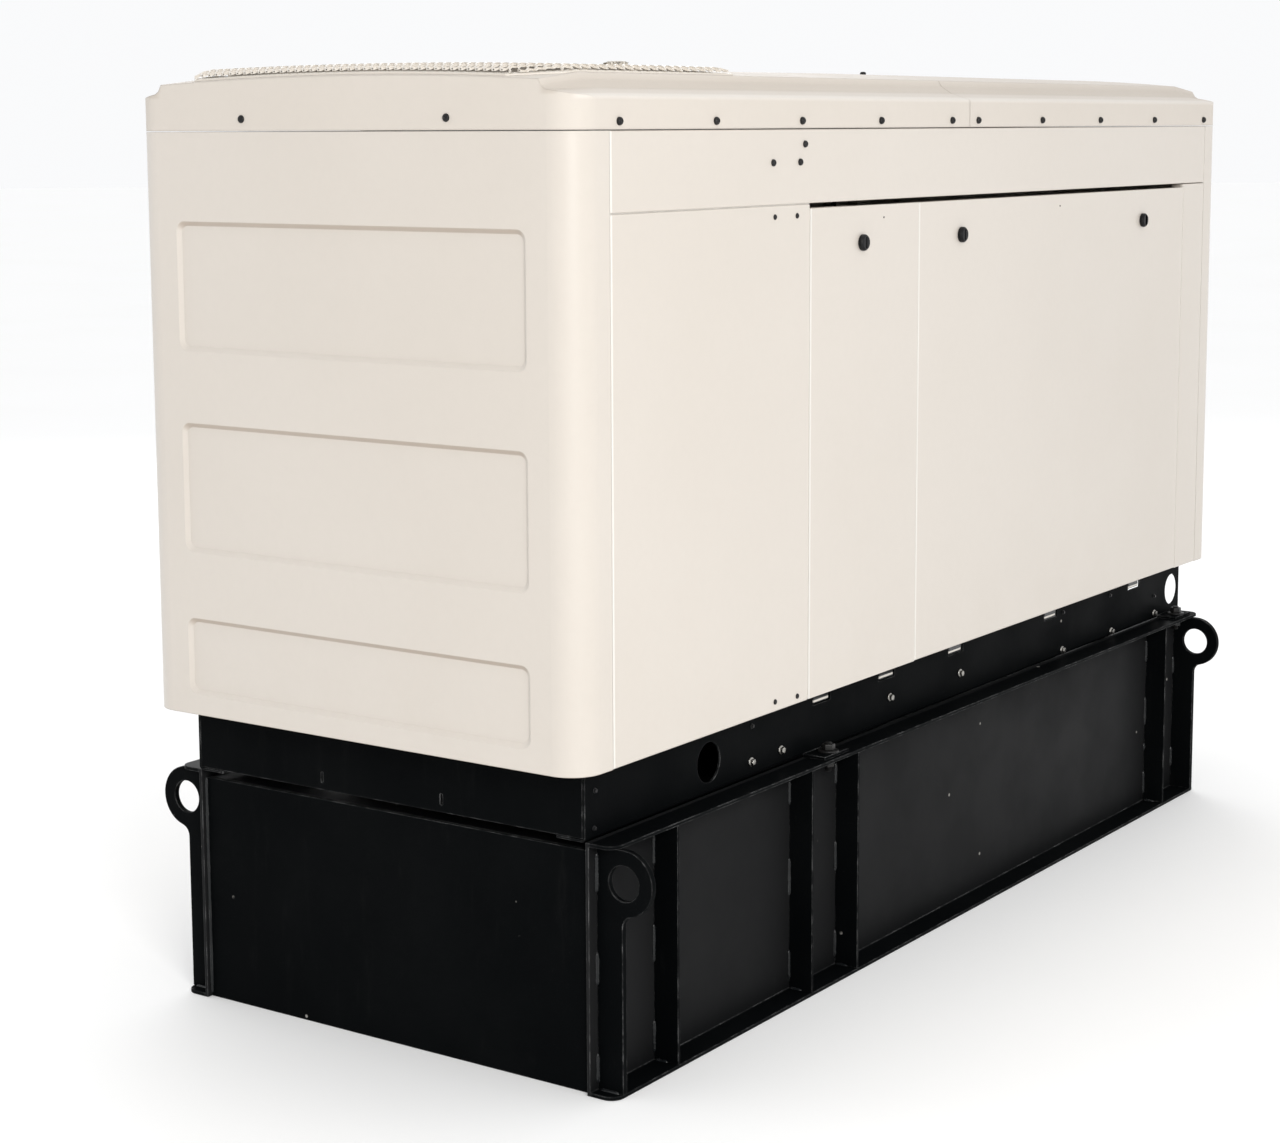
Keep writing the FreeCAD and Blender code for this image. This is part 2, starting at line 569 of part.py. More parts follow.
# raised outlet grille: a shallow tray with a domed top, on the crown of the roof
def dome(drop):
    """Block under the domed top of the grille, its top lowered by drop."""
    ws = []
    for x, ze, zc in ((gx0 - 2, 1784, 1790), (-1248, 1784.5, 1792.5), (gx1 + 2, 1785, 1797.5)):
        a, b, m = V(x, -gy - 4, ze - drop), V(x, gy + 4, ze - drop), V(x, 0, zc - drop)
        c, d = V(x, gy + 4, 1740), V(x, -gy - 4, 1740)
        ws.append(Part.Wire([Part.Arc(a, m, b).toShape(), Part.LineSegment(b, c).toShape(),
                             Part.LineSegment(c, d).toShape(), Part.LineSegment(d, a).toShape()]))
    q = [Part.makeLoft([a, b], True, True) for a, b in zip(ws, ws[1:])]
    return q[0].fuse(q[1])


base_t = outer_roof.copy()
base_t.translate(V(0, 0, 0.3))
gr = dome(0).common(grille_plan(0)).cut(base_t)
gr = gr.cut(dome(2.6).common(grille_plan(-3)))
windows = []
nx, ny = 4, 4
for i in range(nx):
    for j in range(ny):
        w, h = (gx1 - gx0 - 48) / nx, (2 * gy - 48) / ny
        x0, y0 = gx0 + 24 + i * w, -gy + 24 + j * h
        lo, hi = (6 if i == 0 else 4), 4
        if i == 0 and j in (0, ny - 1):
            lo = 44
        windows.append(Part.makeBox(w - lo - hi, h - 10, 200, V(x0 + lo, y0 + 5, 1700)))
gr = gr.cut(Part.makeCompound(windows))
solids = sorted(gr.Solids, key=lambda q: -q.Volume)
keep("roof_grille", shape_feature(solids[0], "grille"))
print("grille solids", len(gr.Solids), [round(q.Volume) for q in solids[:4]])
cap_z = 1768.0
coolant_cap = turned([(0, 0), (13, 0), (13, 30), (20, 30), (20, 38), (18, 41), (0, 41)], (fill_x, fill_y, cap_z))
knurl = [box(fill_x + 19.2 * math.cos(a) - 0.9, fill_x + 19.2 * math.cos(a) + 0.9,
             fill_y + 19.2 * math.sin(a) - 0.9, fill_y + 19.2 * math.sin(a) + 0.9, cap_z + 30, cap_z + 38)
         for a in [i * math.pi / 8 for i in range(16)]]
keep("coolant_fill_cap", fuse(coolant_cap, *knurl))

# screws of the enclosure
scr = []
for x in (-1240, -944, -652, -355, -61, 54, 355, 653, 955, 1252):
    for s in (-1, 1):
        scr.append(turned([(0, 0), (7, 0), (6.4, 2.6), (3.4, 3.8), (0, 4)], (x, s * D["enc_hy"], 1694),
                          Rotation(V(0, 0, 1), V(0, s, 0))))
for y in (-238, 233):
    for s in (-1, 1):
        scr.append(turned([(0, 0), (7, 0), (6.4, 2.6), (3.4, 3.8), (0, 4)], (s * D["enc_hx"], y, 1701),
                          Rotation(V(0, 0, 1), V(s, 0, 0))))
for x, z in ((-753, 1618), (-658, 1618), (-641, 1651), (-746, 1519), (-668, 1519), (-741, 610), (-661, 606)):
    for s in (-1, 1):
        scr.append(turned([(0, 0), (5, 0), (4.4, 2), (0, 3)], (x, s * D["enc_hy"], z), Rotation(V(0, 0, 1), V(0, s, 0))))
scr.append(turned([(0, 0), (7, 0), (7, 6), (5, 9), (0, 10)], (460, 0, D["crown_z"])))
keep("enclosure_fasteners", group(*scr))

# ---------------------------------------------------------------- engine
block = cut(box("blk_xa", "blk_xb", "-blk_hy", "blk_hy", "blk_za", "blk_zb"),
            cyl(58, 700, (-560, 0, "crank_z"), "X"),
            cyl(13.05, 60, (-510, 0, "fan_z"), "X"))
block = fillet(block, 18, lambda e: along(e, "x", z=(1070, 1090)))
ribs = [box(x, x + 14, "-blk_hy-10", "-blk_hy+2", 790, 1050) for x in (-440, -356, -200, -80)]
ribs += [box(x, x + 14, "blk_hy-2", "blk_hy+10", 790, 1050) for x in (-440, -356, -200, -80)]
tube = cyl(9, 330, (36, -190, 880))
tube_l = cut(fuse(tube, box(27, 45, -190, -160, 885, 925)), cyl(6, 300, (36, -190, 920)))
keep("engine_block", fuse(block, *(ribs + [tube_l])))
pan_o = padded([(-470, 770), (-470, 700), (-380, 652), (-60, 652), (20, 700), (20, 770)], 280, (0, 140, 0), "xz")
keep("oil_pan", fillet(pan_o, 14, lambda e: along(e, "x") and e.CenterOfMass.z < 660))
head = fuse(box(-480, 40, -130, 130, 1080.2, 1165), *[cyl(22, 30, (x, 118, 1125), "Y") for x in (-400, -280, -160, -40)])
keep("cylinder_head", head)
vc = fillet(box(-460, 20, -92, 92, 1165.2, 1240), 26, lambda e: along(e, "x", z=(1235, 1245)))
vc = fuse(vc, cyl(26, 26, (-60, 0, 1236)))
keep("valve_cover", vc)
fh = turned([(60, 0.2), (232, 0.2), (240, 12), (240, 99.8), (60, 99.8)], (60, 0, "crank_z"), "X")
fh = cut(fuse(fh, box(80, 140, -200, 200, 632, 700)), cyl(216, 100, (74, 0, "crank_z"), "X"))
keep("flywheel_housing", fh)
man = fuse(box(-450, 10, -196, -160, 1096, 1150), *[cyl(24, 34, (x, -165, 1123), "Y") for x in (-400, -280, -160, -40)])
man = cut(man, box(-500, 60, -170, -100, 1000, 1200))
man = fuse(man, *[cyl(22, 42, (x, -172, 1123), "Y") for x in (-400, -280, -160, -40)])
man = fuse(man, cyl(30, 60, (-430, -200, 1123), Rotation(V(0, 0, 1), V(0, -1, 0))), cyl(44, 10, (-430, -250, 1123), Rotation(V(0, 0, 1), V(0, -1, 0))))
keep("exhaust_manifold", man)

mx, mz, mr = -1060.0, 1330.0, 108.0
muf = turned([(0, -345), (70, -345), (mr - 6, -330), (mr, -320), (mr, 320), (mr - 6, 330), (70, 345), (0, 345)], (mx, 0, mz), "Y")
exh = pipe([(-430, -261, 1123), (-430, -330, 1123), (-430, -330, 1610), (-1060, -250, 1610), (-1060, -250, 1400)], 30, 62)
tail = pipe([(-1060, 250, 1400), (-1060, 250, 1560), (-1060, 120, 1740)], 34, 60, 30)
msh = shape_feature(exh, "exhaust_pipe")
tsh = shape_feature(tail, "tail_pipe")
flg = cyl(44, 10, (-430, -260.2, 1123), Rotation(V(0, 0, 1), V(0, -1, 0)))
keep("muffler", fuse(muf, msh, tsh, flg))

ac = turned([(0, 0), (112, 0), (118, 8), (118, 60), (108, 70), (108, 300), (60, 320), (60, 350), (0, 350)], (150, 150, 1370), "X")
duct = shape_feature(pipe([(152, 150, 1370), (60, 150, 1370), (-40, 230, 1290), (-140, 230, 1160)], 36, 70), "intake_hose")
plen = box(-420, -20, 148.2, 232, 1095, 1155)
keep("air_cleaner", fuse(ac, duct, plen))

keep("engine_filters", group(
    turned([(0, 0), (44, 0), (46, 4), (46, 130), (38, 142), (0, 142)], (-250, -236, 880)),
    turned([(0, 0), (44, 0), (46, 6), (46, 100), (38, 112), (0, 112)], (-385, -175.4, 830), Rotation(V(0, 0, 1), V(0, -1, 0)))))
st = fuse(cyl(46, 150, (-92, -232, 790), "X"), cyl(24, 130, (-92, -232, 862), "X"), box(-60, 20, -252, -212, 790, 862))
keep("starter_motor", st)

# alternator on the flywheel end
gh = fuse(cyl("gen_r", "gen_xb-gen_xa-0.4", ("gen_xa+0.2", 0, "crank_z"), "X"),
          cyl("gen_r+16", 18, ("gen_xa+0.2", 0, "crank_z"), "X"),
          cyl("gen_r+10", 18, ("gen_xb-18.2", 0, "crank_z"), "X"),
          box(230, 620, -190, 190, 632, 700), box(300, 560, -110, 110, 1040, 1130))
gh = cut(gh, cyl("bore_r", 800, (100, 0, "crank_z"), "X"))
keep("alternator_housing", gh)
end_c = turned([(36, 0), (206, 0), (212, 6), (212, 50), (180, 70), (36, 70)], ("gen_xb", 0, "crank_z"), "X")
vents = [cyl(19, 100, (690, 125 * math.cos(i * math.pi / 4), val("crank_z") + 125 * math.sin(i * math.pi / 4)), "X")
         for i in range(8)]
keep("alternator_end_cover", cut(end_c, *vents))

# rotating parts
crank_pts = [(0, -578), (22, -578), (22, -560), ("shaft_r-4", -560), ("shaft_r-4", -505), ("shaft_r", -505)]
x = -470
while x < 20:
    crank_pts += [("shaft_r", x), (54, x), (54, x + 22), ("shaft_r", x + 22)]
    x += 60
crank_pts += [("shaft_r", 120), (200, 120), (200, 150), ("shaft_r", 150), ("shaft_r", 762), (0, 762)]
keep("crankshaft", turned([(p[0], p[1]) for p in crank_pts], (0, 0, "crank_z"), "X"))

keep("alternator_rotor", turned([("shaft_r", 225), (120, 225), (146, 240), (146, 640), (120, 655), ("shaft_r", 655)],
                                (0, 0, "crank_z"), "X"))


def pulley(r, bore):
    """Grooved pulley centred on the belt line."""
    pts = [(bore, -13), (r + "+9", -13), (r + "+9", "-belt_w/2-1"), (r, "-belt_w/2-1"), (r, "belt_w/2+1"),
           (r + "+9", "belt_w/2+1"), (r + "+9", 13), (bore, 13)]
    return pts


keep("crank_pulley", turned(pulley("crank_pul", "shaft_r-4"), ("belt_x", 0, "crank_z"), "X"))
fp = turned(pulley("fan_pul", 13), ("belt_x", 0, "fan_z"), "X")
fs = cyl(13, 130, (-612, 0, "fan_z"), "X")
keep("fan_pulley", fuse(fp, fs))
ap = turned(pulley("alt_pul", 8), ("belt_x", "alt_y", "alt_z"), "X")
keep("charge_alternator_pulley", fuse(ap, cyl(8, 90, (-558, "alt_y", "alt_z"), "X")))
ca = turned([(8.05, 0), (40, 0), (58, 12), (58, 88), (40, 100), (8.05, 100)], (-508, "alt_y", "alt_z"), "X")
ca = fuse(ca, box(-470, -440, 160, 200, 940, 975))
ca = cut(ca, box(-600, -300, 100, 175.4, 900, 1000))
keep("charge_alternator", ca)

# belt round three pulleys, convex, with a small gap to the moving grooves
circ = [(0.0, D["crank_z"], D["crank_pul"]), (D["alt_y"], D["alt_z"], D["alt_pul"]), (0.0, D["fan_z"], D["fan_pul"])]


def loop(off):
    """Face inside the belt line at an offset from the groove radius."""
    n = len(circ)
    tang = []
    for i in range(n):
        (y1, z1, ra), (y2, z2, rb) = circ[i], circ[(i + 1) % n]
        ra, rb = ra + off, rb + off
        d = math.hypot(y2 - y1, z2 - z1)
        base = math.atan2(z2 - z1, y2 - y1)
        a = base - math.acos((ra - rb) / d)
        tang.append((V(0, y1 + ra * math.cos(a), z1 + ra * math.sin(a)), V(0, y2 + rb * math.cos(a), z2 + rb * math.sin(a)), a))
    edges = []
    for i in range(n):
        p, q, a = tang[i]
        nxt = tang[(i + 1) % n]
        edges.append(Part.LineSegment(p, q).toShape())
        yc, zc, rc = circ[(i + 1) % n]
        rc += off
        a2 = nxt[2]
        while a2 < a:
            a2 += 2 * math.pi
        am = (a + a2) / 2
        edges.append(Part.Arc(q, V(0, yc + rc * math.cos(am), zc + rc * math.sin(am)), nxt[0]).toShape())
    return Part.Face(Part.Wire(Part.__sortEdges__(edges)))


belt = loop(8.4).cut(loop(D["body_gap"])).extrude(V(D["belt_w"], 0, 0))
belt.translate(V(D["belt_x"] - D["belt_w"] / 2, 0, 0))
keep("drive_belt", shape_feature(belt, "belt"))

# fan: hub and seven pitched, curved blades
fz_, fx, fr = D["fan_z"], D["fan_x"], D["fan_r"]
hub = turned([(13, 12), (58, 12), (66, 6), (66, -14), (50, -22), (0, -22), (0, -14), (13, -14)], ("fan_x", 0, "fan_z"), "X")
blades = []
for i in range(7):
    wires = []
    for r, wide, pitch, t in ((60, 74, 40, 5.0), (190, 104, 31, 4.0), (fr, 122, 24, 2.6)):
        a = math.radians(pitch)
        u = V(math.sin(a), math.cos(a), 0)
        n = V(math.cos(a), -math.sin(a), 0)
        c = V(0, 0, r)
        pts = []
        for k in range(9):
            f = -1 + k / 4.0
            pts.append(c + u * (wide / 2 * f) + n * ((1 - f * f) * 7 + t / 2))
        for k in range(9):
            f = 1 - k / 4.0
            pts.append(c + u * (wide / 2 * f) + n * ((1 - f * f) * 7 - t / 2))
        wires.append(Part.makePolygon(pts + [pts[0]]))
    b = Part.makeLoft(wires, True, True)
    b.rotate(V(0, 0, 0), V(1, 0, 0), 360.0 / 7 * i)
    blades.append(b)
bl = Part.makeCompound(blades)
bl.translate(V(fx, 0, fz_))
bls = [shape_feature(q, "blade") for q in bl.Solids]
keep("radiator_fan", fuse(hub, *bls))

# radiator, shroud, bulkhead, hoses
rc = fuse(box("rad_xa+10", "rad_xb-10", "-rad_hy+22", "rad_hy-22", "rad_za+50", "rad_zb-50"),
          box("rad_xa", "rad_xb", "-rad_hy", "rad_hy", "rad_zb-50", "rad_zb"),
          box("rad_xa", "rad_xb", "-rad_hy", "rad_hy", "rad_za", "rad_za+50"),
          box("rad_xa", "rad_xb", "-rad_hy", "-rad_hy+22", "rad_za", "rad_zb"),
          box("rad_xa", "rad_xb", "rad_hy-22", "rad_hy", "rad_za", "rad_zb"),
          box("rad_xa+12", "rad_xb-12", -360, -300, 592, "rad_za"), box("rad_xa+12", "rad_xb-12", 300, 360, 592, "rad_za"),
          cyl(16, 1797.4 - 1530, (fill_x, fill_y, 1530)))
rc = cut(rc, cyl(13.4, 80, (fill_x, fill_y, 1760)))
keep("radiator_core", rc)
shr = fuse(box("rad_xb+0.4", "rad_xb+4", "-rad_hy+4", "rad_hy-4", "rad_za+56", "rad_zb-56"),
           cyl("fan_r+22", 62, ("rad_xb+0.4", 0, "fan_z"), "X"))
shr = cut(shr, cyl("fan_r+12", 200, (-760, 0, "fan_z"), "X"))
keep("fan_shroud", shr)
bk = fuse(box(-750, -746, -474, 474, 592, 1676), box(-750, -746, -438, 438, 1670, 1744))
bk = cut(bk, box(-760, -740, "-rad_hy+24", "rad_hy-24", "rad_za+54", "rad_zb-54"), cyl(39, 40, (-770, -289, 1610), "X"))
keep("radiator_bulkhead", bk)
ho = [pipe([(-671.8, 100, 1515), (-540, 100, 1515), (-540, 100, 1138), (-480.2, 100, 1138)], 22, 50, 18),
      pipe([(-671.8, -130, 675), (-548, -130, 675), (-548, -130, 940), (-500.2, -130, 940)], 21, 44, 17)]
keep("coolant_hoses", group(*[shape_feature(q, "hose") for q in ho]))

# engine mounts: steel brackets on rubber
mts = []
for s in (-1, 1):
    lo_, hi_ = (166, 258) if s > 0 else (-258, -166)
    mts.append(fuse(box(-330, -270, lo_, hi_, 630.2, 642), box(-306, -294, lo_, hi_, 640, 700),
                    box(-330, -270, 166 if s > 0 else -176, 176 if s > 0 else -166, 640, 850)))
    for x, y in ((-300, 225), (430, 150)):
        mts.append(turned([(0, 585.2), (30, 585.2), (24, 600), (24, 616), (30, 629.8), (0, 629.8)], (x, s * y, 0)))
keep("engine_mounts", group(*mts))

# dipstick
keep("oil_dipstick", fuse(cyl(2.5, 287.5, (36, -190, 935)), cyl(5.4, 8, (36, -190, 1198)), cyl(8.6, 3, (36, -190, 1210.4)),
                          cut(cyl(11, 7, (36, -193.5, 1232), "Y"), cyl(7, 11, (36, -195.5, 1232), "Y"))))

# control box on the alternator, facing the service side
cb = cut(box(300, 780, -415, -190, 1180, 1500), box(303, 777, -412, -193, 1183, 1497))
cb = cut(cb, cyl(11.05, 12, (560, -420, 1410), "Y"), cyl(7.05, 12, (660, -420, 1410), "Y"), box(652, 688, -420, -405, 1238, 1282))
cb = fuse(cb, cut(box(350, 500, -420, -414.9, 1350, 1470), box(362, 488, -421, -417.5, 1384, 1460)),
          cut(box(612, 728, -418, -414.9, 1200, 1320), box(650, 690, -420, -405, 1236, 1284)),
          box(350, 374, -418, -414.9, 1358, 1374), box(340, 380, -300, -60, 1130.2, 1180.1), box(500, 540, -300, -60, 1130.2, 1180.1))
for x in (372, 402, 432, 462):
    cb = fuse(cb, cyl(6, 4, (x, -422, 1368), "Y"))
keep("control_box", cb)
keep("emergency_stop_button", turned([(0, 0), (11, 0), (11, 32), (14, 34), (20, 35), (21, 38), (20, 43), (13, 48), (0, 49)],
                                     (560, -395, 1410), Rotation(V(1, 0, 0), 90)))
ms = turned([(0, 0), (7, 0), (7, 22.4), (16, 22.4), (16, 32), (14, 34), (0, 34)], (660, -395, 1410), Rotation(V(1, 0, 0), 90))
keep("mode_selector", fuse(ms, box(657, 663, -437, -428, 1396, 1426)))
ca_, sa_ = math.cos(math.radians(30)), math.sin(math.radians(30))
yc, zc = -398.0, 1260.0
arm = [(yc - d * ca_ - s * w * sa_, zc + d * sa_ - s * w * ca_) for d, w, s in ((0, 5, 1), (46, 5.6, 1), (46, 5.6, -1), (0, 5, -1))]
keep("breaker_handle", fuse(cyl(11.5, 30, (655, yc, zc), "X"), padded(arm, 20, (660, 0, 0), "yz")))

# battery on its tray
bt = fuse(box(790, 1040, -340, -170, 598, 780), box(786, 1044, -344, -166, 780, 806), cyl(9, 18, (830, -300, 800)), cyl(9, 18, (1000, -300, 800)),
          box(790, 1040, -262, -248, 804, 810))
tray = cut(box(776, 1054, -440, -156, 591.2, 630), box(780, 1050, -450, -160, 597.4, 640))
keep("battery", group(bt, tray))

# fuel filler: neck from the tank deck, hinged lid
neck = turned([(22, 425), (25, 425), (25, 735), (33, 748), (33, 760), (22, 760)], (1100, -330, 0))
ear = cut(box(1092, 1108, -302, -286, 742, 771), cyl(3.05, 40, (1080, -292, 766), "X"))
keep("fuel_filler_neck", fuse(neck, cut(box(1092, 1108, -303, -295, 742, 758), cyl(24, 40, (1100, -330, 735))), ear))
lid = turned([(0, 760.4), (33, 760.4), (34, 763), (34, 776), (30, 779), (0, 779)], (1100, -330, 0))
lid = cut(lid, box(1090.5, 1109.5, -304, -280, 740, 790))
ears = [fuse(box(a, b, -306, -292, 761, 771), cyl(5, b - a, (a, -292, 766), "X")) for a, b in ((1083, 1090.5), (1109.5, 1117))]
keep("fuel_filler_cap", fuse(lid, *(ears + [cyl(3, 34, (1083, -292, 766), "X")])))

doc.recompute()
bad = [o.Label for o in doc.Objects if {"Invalid", "Error"} & set(o.State)]
if bad:
    raise RuntimeError("failed objects: %s" % bad)
if len(PARTS) > 60:
    raise RuntimeError("too many parts: %d" % len(PARTS))
os.makedirs("parts", exist_ok=True)
for name, obj in PARTS.items():
    shp = obj.Shape
    if shp.isNull() or not shp.isValid() or not shp.Solids:
        raise RuntimeError("bad shape: %s" % name)
    if obj.Label != name:
        raise RuntimeError("label of %s is %s" % (name, obj.Label))
    shp.exportStep("parts/%s.step" % name)
box_all = Part.makeCompound([o.Shape for o in PARTS.values()]).BoundBox
print("parts", len(PARTS), "box", [round(v, 1) for v in (box_all.XMin, box_all.XMax, box_all.YMin, box_all.YMax, box_all.ZMin, box_all.ZMax)])
for name, obj in PARTS.items():
    b = obj.Shape.BoundBox
    print("%-26s solids %3d vol %.4g  x %.0f..%.0f y %.0f..%.0f z %.0f..%.0f" % (
        name, len(obj.Shape.Solids), obj.Shape.Volume, b.XMin, b.XMax, b.YMin, b.YMax, b.ZMin, b.ZMax))
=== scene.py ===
import bpy
import bmesh
import json
import math
import random
from mathutils import Matrix, Vector


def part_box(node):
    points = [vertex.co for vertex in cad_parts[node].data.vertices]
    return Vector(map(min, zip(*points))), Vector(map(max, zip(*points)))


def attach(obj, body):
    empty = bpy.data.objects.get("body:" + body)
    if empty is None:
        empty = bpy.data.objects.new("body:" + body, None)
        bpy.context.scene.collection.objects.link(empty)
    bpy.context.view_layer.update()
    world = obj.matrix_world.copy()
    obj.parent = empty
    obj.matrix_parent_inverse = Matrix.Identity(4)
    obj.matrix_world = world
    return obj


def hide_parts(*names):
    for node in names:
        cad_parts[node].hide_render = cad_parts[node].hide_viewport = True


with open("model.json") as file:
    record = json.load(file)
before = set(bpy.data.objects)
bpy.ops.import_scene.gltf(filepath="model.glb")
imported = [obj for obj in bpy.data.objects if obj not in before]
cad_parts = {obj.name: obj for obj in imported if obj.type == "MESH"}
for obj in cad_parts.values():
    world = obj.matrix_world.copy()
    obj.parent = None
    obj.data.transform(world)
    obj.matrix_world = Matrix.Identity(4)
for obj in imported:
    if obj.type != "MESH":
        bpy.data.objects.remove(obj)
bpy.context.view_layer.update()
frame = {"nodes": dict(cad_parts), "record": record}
NODES = frame["nodes"]
RECORD = frame["record"]
SLOT_OF = {s["node"]: s["material_slot"] for s in RECORD["subparts"]}
BODY_OF = {n: b for b, ns in RECORD["behaviour"]["bodies"].items() for n in ns}
ROOT = BODY_OF["skid_rails"]
scene = bpy.context.scene


# ------------------------------------------------------------------ materials
class Nodes:
    """Small helper that builds one procedural material."""

    def __init__(self, name):
        self.m = bpy.data.materials.new(name)
        self.m.use_nodes = True
        self.t = self.m.node_tree
        self.t.nodes.clear()
        self.out = self.t.nodes.new("ShaderNodeOutputMaterial")
        self.b = self.t.nodes.new("ShaderNodeBsdfPrincipled")
        self.t.links.new(self.b.outputs[0], self.out.inputs[0])
        self.coord = self.t.nodes.new("ShaderNodeTexCoord").outputs["Object"]

    def link(self, a, b):
        self.t.links.new(a, b)
        return b

    def put(self, socket, v):
        if isinstance(v, bpy.types.NodeSocket):
            self.t.links.new(v, socket)
        else:
            socket.default_value = v

    def scaled(self, xyz):
        n = self.t.nodes.new("ShaderNodeMapping")
        self.link(self.coord, n.inputs["Vector"])
        n.inputs["Scale"].default_value = xyz
        return n.outputs[0]

    def noise(self, scale, detail=3.0, rough=0.55, vec=None, distort=0.0):
        n = self.t.nodes.new("ShaderNodeTexNoise")
        n.inputs["Scale"].default_value = scale
        n.inputs["Detail"].default_value = detail
        n.inputs["Roughness"].default_value = rough
        n.inputs["Distortion"].default_value = distort
        self.link(vec or self.coord, n.inputs["Vector"])
        return n.outputs[0]

    def voronoi(self, scale, feature="F1", vec=None, out=0):
        n = self.t.nodes.new("ShaderNodeTexVoronoi")
        n.feature = feature
        n.inputs["Scale"].default_value = scale
        self.link(vec or self.coord, n.inputs["Vector"])
        return n.outputs[out]

    def wave(self, scale, direction="X", vec=None, profile="SIN", distortion=0.0):
        n = self.t.nodes.new("ShaderNodeTexWave")
        n.bands_direction = direction
        n.wave_profile = profile
        n.inputs["Scale"].default_value = scale
        n.inputs["Distortion"].default_value = distortion
        self.link(vec or self.coord, n.inputs["Vector"])
        return n.outputs["Fac"]

    def axis(self, name):
        n = self.t.nodes.new("ShaderNodeSeparateXYZ")
        self.link(self.coord, n.inputs[0])
        return n.outputs[name]

    def math(self, op, a, b=0.0, clamp=False):
        n = self.t.nodes.new("ShaderNodeMath")
        n.operation = op
        n.use_clamp = clamp
        self.put(n.inputs[0], a)
        self.put(n.inputs[1], b)
        return n.outputs[0]

    def ramp(self, fac, lo, hi, a=0.0, b=1.0):
        """fac mapped from lo..hi to a..b, clamped and smoothed."""
        n = self.t.nodes.new("ShaderNodeMapRange")
        n.interpolation_type = "SMOOTHSTEP"
        self.put(n.inputs["Value"], fac)
        n.inputs["From Min"].default_value = lo
        n.inputs["From Max"].default_value = hi
        n.inputs["To Min"].default_value = a
        n.inputs["To Max"].default_value = b
        return n.outputs[0]

    def mix(self, fac, a, b, blend="MIX"):
        n = self.t.nodes.new("ShaderNodeMix")
        n.data_type = "RGBA"
        n.blend_type = blend
        self.put(n.inputs["Factor"], fac)
        for s, v in ((n.inputs[6], a), (n.inputs[7], b)):
            if isinstance(v, bpy.types.NodeSocket):
                self.link(v, s)
            else:
                s.default_value = (*v, 1.0)
        return n.outputs[2]

    def bump(self, height, strength, distance, normal=None):
        n = self.t.nodes.new("ShaderNodeBump")
        n.inputs["Strength"].default_value = strength
        n.inputs["Distance"].default_value = distance
        self.link(height, n.inputs["Height"])
        if normal is not None:
            self.link(normal, n.inputs["Normal"])
        return n.outputs[0]

    def corner(self, distance):
        """1 in the open, falling towards 0 deep in an inner corner."""
        a = self.t.nodes.new("ShaderNodeAmbientOcclusion")
        a.samples = 4
        a.only_local = True
        a.inputs["Distance"].default_value = distance
        return a.outputs["AO"]

    def rounded(self, radius):
        """Normal that rolls over sharp edges within a radius."""
        b = self.t.nodes.new("ShaderNodeBevel")
        b.samples = 6
        b.inputs["Radius"].default_value = radius
        return b.outputs[0]

    def edge(self, radius, lo, hi):
        """Mask that is 1 on sharp outer and inner edges, within a radius."""
        b = self.t.nodes.new("ShaderNodeBevel")
        b.samples = 4
        b.inputs["Radius"].default_value = radius
        g = self.t.nodes.new("ShaderNodeNewGeometry")
        d = self.t.nodes.new("ShaderNodeVectorMath")
        d.operation = "DOT_PRODUCT"
        self.link(b.outputs[0], d.inputs[0])
        self.link(g.outputs["Normal"], d.inputs[1])
        return self.ramp(d.outputs["Value"], hi, lo, 1.0, 0.0)

    def done(self, color=None, rough=0.5, metal=0.0, normal=None, **sockets):
        if color is not None:
            if isinstance(color, bpy.types.NodeSocket):
                self.link(color, self.b.inputs["Base Color"])
            else:
                self.b.inputs["Base Color"].default_value = (*color, 1.0)
        self.put(self.b.inputs["Roughness"], rough)
        self.put(self.b.inputs["Metallic"], metal)
        if normal is not None:
            self.link(normal, self.b.inputs["Normal"])
        for k, v in sockets.items():
            self.b.inputs[k.replace("_", " ")].default_value = v
        return self.m


